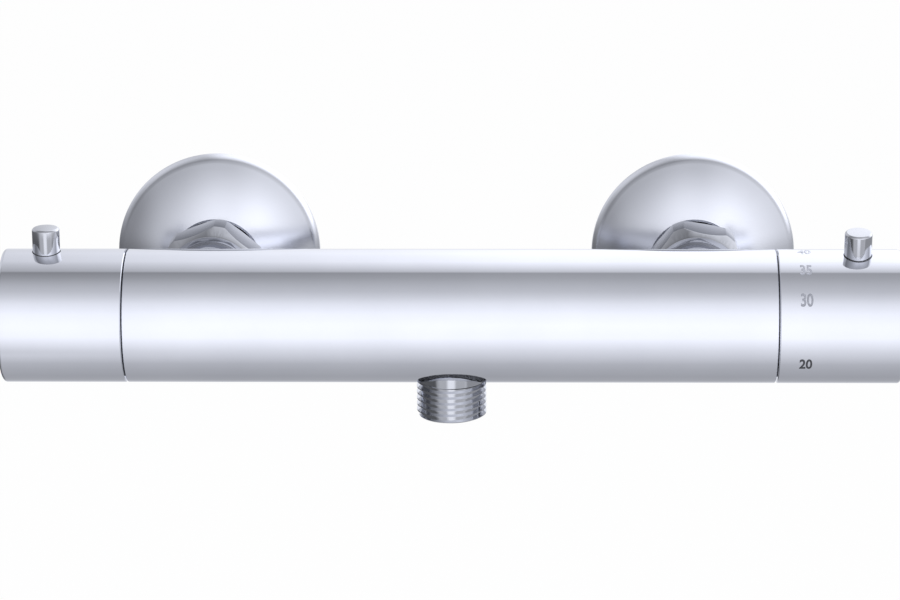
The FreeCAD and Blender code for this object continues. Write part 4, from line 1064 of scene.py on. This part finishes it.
@dataclass
class Studio:
    """The room round the valve: a pale floor, a white backdrop, soft lamps and what the chrome mirrors.

    Attributes:
        floor_height: The floor's height.
        floor_size: The floor's width and depth.
        floor_shade: The floor's colour.
        floor_white: How much of the floor is plain white to the camera, which leaves a faint shadow.
        tint: The colour of all that the chrome mirrors.
        above: What it mirrors in the upper half of the room, by the angle from the front to the back.
        below: The same for the lower half.
        cards: Cards in front of that.
        sides: How bright the front of the room is by the X part of a direction, against its middle.
        sides_behind: The same at the back of the room's upper half.
        behind: The angles from the front over which the back's shares take over.
        horizon: The elevations, in radians, over which the upper half takes over from the lower.
        lamps: A large soft lamp over the front and a smaller one at the left.
    """

    floor_height: float = -0.25
    floor_size: float = 8.0
    floor_shade: Colour = (0.85, 0.85, 0.85)
    floor_white: float = 0.97
    tint: Colour = (0.93, 0.945, 1.0)
    above: Stops = (
        (0, 1.25), (20, 1.16), (37, 0.97), (48, 0.78), (59, 0.63), (72, 0.54), (85, 0.44), (96, 0.39),
        (99, 0.66), (108, 0.88), (124, 1.2), (152, 1.3), (176, 1.2),
    )
    below: Stops = (
        (0, 1.25), (22, 1.2), (45, 0.88), (75, 0.55), (91, 0.48), (112, 0.43), (121, 0.44), (131, 0.46),
        (138, 0.52), (147, 0.64), (156, 0.8), (180, 0.9),
    )
    cards: tuple[Card, ...] = (
        Card(-31, -30, 18, 22, 12, 0.62),
        Card(31, -30, 18, 22, 12, 0.62),
        Card(-100, 6, 36, 18, 24, 0.16, 0.5),
        Card(-103, -31, 54, 23, 22, 0.13),
        Card(104, -31, 54, 23, 20, 0.4),
    )
    sides: Stops = ((-1.0, 0.8), (-0.5, 0.85), (-0.16, 1.0), (0.16, 1.0), (0.5, 1.35), (1.0, 1.6))
    sides_behind: Stops = ((-1.0, 0.8), (-0.2, 0.5), (0.0, 1.0), (0.2, 1.1), (1.0, 1.6))
    behind: tuple[float, float] = (60, 115)
    horizon: tuple[float, float] = (-0.15, 0.15)
    lamps: tuple[Lamp, ...] = (
        Lamp("key_lamp", (0.25, -0.75, 0.95), 1.1, 6.0),
        Lamp("side_lamp", (-1.0, -0.5, 0.35), 0.8, 2.0),
    )

    def build_floor(self) -> None:
        """Lay the floor, white to the camera and invisible to mirrors, which show the cards instead."""
        deselect()
        bpy.ops.mesh.primitive_plane_add(size=self.floor_size, location=(0, 0, 0))
        floor = bpy.context.object
        floor.name = "floor"
        floor.data.transform(Matrix.Translation((0, 0, self.floor_height)))
        made = bpy.data.materials.new("floor_paper")
        made.use_nodes = True
        board = NodeBoard(made.node_tree)
        rays = board.add("ShaderNodeLightPath")
        paper = board.add("ShaderNodeBsdfDiffuse", {"Color": (*self.floor_shade, 1.0)})
        white = board.add("ShaderNodeEmission", {"Color": (1, 1, 1, 1), "Strength": 1.0})
        seen = board.math("MULTIPLY", rays.outputs["Is Camera Ray"], self.floor_white)
        lit = board.add("ShaderNodeMixShader", {0: seen, 1: paper.outputs[0], 2: white.outputs[0]})
        clear = board.add("ShaderNodeBsdfTransparent")
        mirrored = board.add(
            "ShaderNodeMixShader", {0: rays.outputs["Is Glossy Ray"], 1: lit.outputs[0], 2: clear.outputs[0]}
        )
        board.add("ShaderNodeOutputMaterial", {"Surface": mirrored.outputs[0]})
        dress(floor, made)

    def shades(self, board: NodeBoard, angle: bpy.types.NodeSocket, stops: Stops) -> bpy.types.NodeSocket:
        """Make a tinted ramp over the angle from the front to the back.

        Args:
            board: The world's nodes.
            angle: The angle from the front, in radians.
            stops: Angles in degrees, each with its brightness.

        Returns:
            The ramp's colour.
        """
        share = board.math("DIVIDE", angle, math.pi)
        colours = [
            (degrees / 180, tuple(strength * channel for channel in self.tint)) for degrees, strength in stops
        ]
        return board.ramp(share, colours)

    def fade(
        self, board: NodeBoard, distance: bpy.types.NodeSocket, half: float, edge: float
    ) -> bpy.types.NodeSocket:
        """1 where a distance is under a card's half size, 0 past it, and soft between."""
        return board.fit(distance, math.radians(half + edge / 2), math.radians(half - edge / 2))

    def across(self, board: NodeBoard, parts: bpy.types.Node, stops: Stops) -> bpy.types.NodeSocket:
        """A grey ramp over the X part of a direction, from -1 at the left to 1 at the right."""
        place = board.math("MULTIPLY_ADD", parts.outputs["X"], 0.5, 0.5)
        return board.ramp(place, [((side + 1) / 2, (share,) * 3) for side, share in stops])

    def shaded(
        self, board: NodeBoard, colour: bpy.types.NodeSocket, share: bpy.types.NodeSocket
    ) -> bpy.types.NodeSocket:
        """A colour times a share."""
        node = board.add("ShaderNodeVectorMath", {0: colour, 1: share}, operation="MULTIPLY")
        return node.outputs["Vector"]

    def mix(self, board: NodeBoard, share: object, first: object, second: object) -> bpy.types.NodeSocket:
        """Mix two colours by a share."""
        node = board.add("ShaderNodeMix", {0: share, 6: first, 7: second}, data_type="RGBA")
        return node.outputs[2]

    def build_world(self) -> None:
        """Make the backdrop: white to the camera, and the studio's cards to everything else."""
        world = bpy.data.worlds.new("studio")
        bpy.context.scene.world = world
        world.use_nodes = True
        board = NodeBoard(world.node_tree)
        heading = board.add("ShaderNodeTexCoord").outputs["Generated"]
        parts = board.add("ShaderNodeSeparateXYZ", {0: heading})
        forwards = board.math("MULTIPLY", parts.outputs["Y"], -1.0)
        from_front = board.math("ARCCOSINE", forwards)
        turn = board.math("ARCTAN2", parts.outputs["X"], forwards)
        lift = board.math("ARCSINE", parts.outputs["Z"])
        upper = board.fit(lift, *self.horizon)
        behind = board.fit(from_front, *(math.radians(angle) for angle in self.behind))
        sides = self.across(board, parts, self.sides)
        sides_above = self.mix(board, behind, sides, self.across(board, parts, self.sides_behind))
        low = self.shaded(board, self.shades(board, from_front, self.below), sides)
        high = self.shaded(board, self.shades(board, from_front, self.above), sides_above)
        room = self.mix(board, upper, low, high)
        for card in self.cards:
            aside = board.math("SUBTRACT", turn, math.radians(card.heading))
            aside = board.math("ABSOLUTE", board.math("WRAP", aside, math.pi, -math.pi))
            off = board.math("ABSOLUTE", board.math("SUBTRACT", lift, math.radians(card.height)))
            inside = board.math(
                "MULTIPLY",
                self.fade(board, aside, card.half_width, card.edge),
                self.fade(board, off, card.half_height, card.edge),
            )
            inside = board.math("MULTIPLY", inside, card.cover)
            lit_shade = tuple(card.strength * channel for channel in self.tint)
            room = self.mix(board, inside, room, (*lit_shade, 1.0))
        rays = board.add("ShaderNodeLightPath")
        light = board.add("ShaderNodeBackground", {"Color": room, "Strength": 1.0})
        white = board.add("ShaderNodeBackground", {"Color": (1, 1, 1, 1), "Strength": 1.0})
        shown = board.add(
            "ShaderNodeMixShader",
            {0: rays.outputs["Is Camera Ray"], 1: light.outputs[0], 2: white.outputs[0]},
        )
        board.add("ShaderNodeOutputWorld", {"Surface": shown.outputs[0]})

    def build_lamps(self) -> None:
        """Hang the lamps, which the chrome doesn't mirror."""
        for lamp in self.lamps:
            data = bpy.data.lights.new(lamp.name, "AREA")
            data.shape = "SQUARE"
            data.size = lamp.width
            data.energy = lamp.power
            hung = bpy.data.objects.new(lamp.name, data)
            bpy.context.scene.collection.objects.link(hung)
            hung.location = lamp.place
            hung.rotation_mode = "QUATERNION"
            hung.rotation_quaternion = (-Vector(lamp.place)).to_track_quat("-Z", "Y")
            hung.visible_glossy = False

    def build(self) -> None:
        """Build the floor, the backdrop and the lamps."""
        self.build_floor()
        self.build_world()
        self.build_lamps()


@dataclass
class PhotoCamera:
    """The camera at the photograph's own viewpoint.

    Attributes:
        azimuth: How far the camera stands to the right of the front, in degrees.
        elevation: How far above the horizon, in degrees.
        roll: The picture's tilt, in degrees.
        distance: Its distance from the bar's middle.
        aim: The offset of the viewed point from the bar's axis, along X and Z.
        focal_pixels: The focal length in pixels of the picture.
        picture_width: The picture's width in pixels.
        sensor_width: The width of the camera's sensor in millimetres.
        sight: The nearest and the farthest distance that it sees.
    """

    azimuth: float = 1.37
    elevation: float = 17.19
    roll: float = -0.34
    distance: float = 1.1
    aim: tuple[float, float] = (-0.31 * MM, 4.9 * MM)
    focal_pixels: float = 3677.2
    picture_width: int = 900
    sensor_width: float = 36.0
    sight: tuple[float, float] = (0.01, 20.0)

    def build(self) -> None:
        """Set up the camera and make it the scene's own."""
        around, above = math.radians(self.azimuth), math.radians(self.elevation)
        flat = math.cos(above)
        back = Vector((math.sin(around) * flat, -math.cos(around) * flat, math.sin(above)))
        level = Vector((math.cos(around), math.sin(around), 0))
        upright = back.cross(level)
        tilt = math.radians(self.roll)
        right = level * math.cos(tilt) + upright * math.sin(tilt)
        up = upright * math.cos(tilt) - level * math.sin(tilt)
        data = bpy.data.cameras.new("photo_camera")
        data.sensor_width = self.sensor_width
        data.lens = self.focal_pixels * self.sensor_width / self.picture_width
        data.clip_start, data.clip_end = self.sight
        camera = bpy.data.objects.new("photo_camera", data)
        bpy.context.scene.collection.objects.link(camera)
        aim = bar_axis() + Vector((self.aim[0], 0, self.aim[1]))
        turn = Matrix((right, up, back)).transposed().to_4x4()
        camera.matrix_world = Matrix.Translation(aim + back * self.distance) @ turn
        bpy.context.scene.camera = camera


def report(piece: bpy.types.Object) -> None:
    """Log a finished piece."""
    LOG.info("%s: %d faces", piece.name, len(piece.data.polygons))


def main() -> None:
    """Dress the frame, add the finer pieces and light the studio."""
    logging.basicConfig(level=logging.INFO, format="%(name)s: %(message)s")
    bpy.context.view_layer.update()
    bpy.context.scene.view_settings.view_transform = "Standard"
    finishes = Finishes()
    Dressing(finishes).build()
    report(OutletNipple().build(finishes.of(THREAD_CHROME)))
    for side in ("hot", "cold"):
        report(EasedPiece(f"{side}_union_nut", 0.25 * MM).build(finishes.of(SHADED_NUT_CHROME)))
    for side in ("flow", "temp"):
        report(EasedPiece(f"{side}_grip_pin", 0.2 * MM).build(finishes.of(THREAD_CHROME)))
        report(PinSeal(side).build(finishes.get(Slot.SEAL_RUBBER)))
    for spring in (
        CoilSpring("hot_check_spring", "hot_check_lift", Axis.Y),
        CoilSpring("cold_check_spring", "cold_check_lift", Axis.Y),
        CoilSpring("return_spring", "carriage_slide", Axis.X),
    ):
        report(spring.build(finishes.get(Slot.SPRING_STEEL)))
    for side in ("hot", "cold"):
        report(WallUnion(side).build(finishes.get(Slot.POLISHED_CHROME)))
    for number in PrintedScale().build():
        report(number)
    Studio().build()
    PhotoCamera().build()


if __name__ == "__main__":
    main()
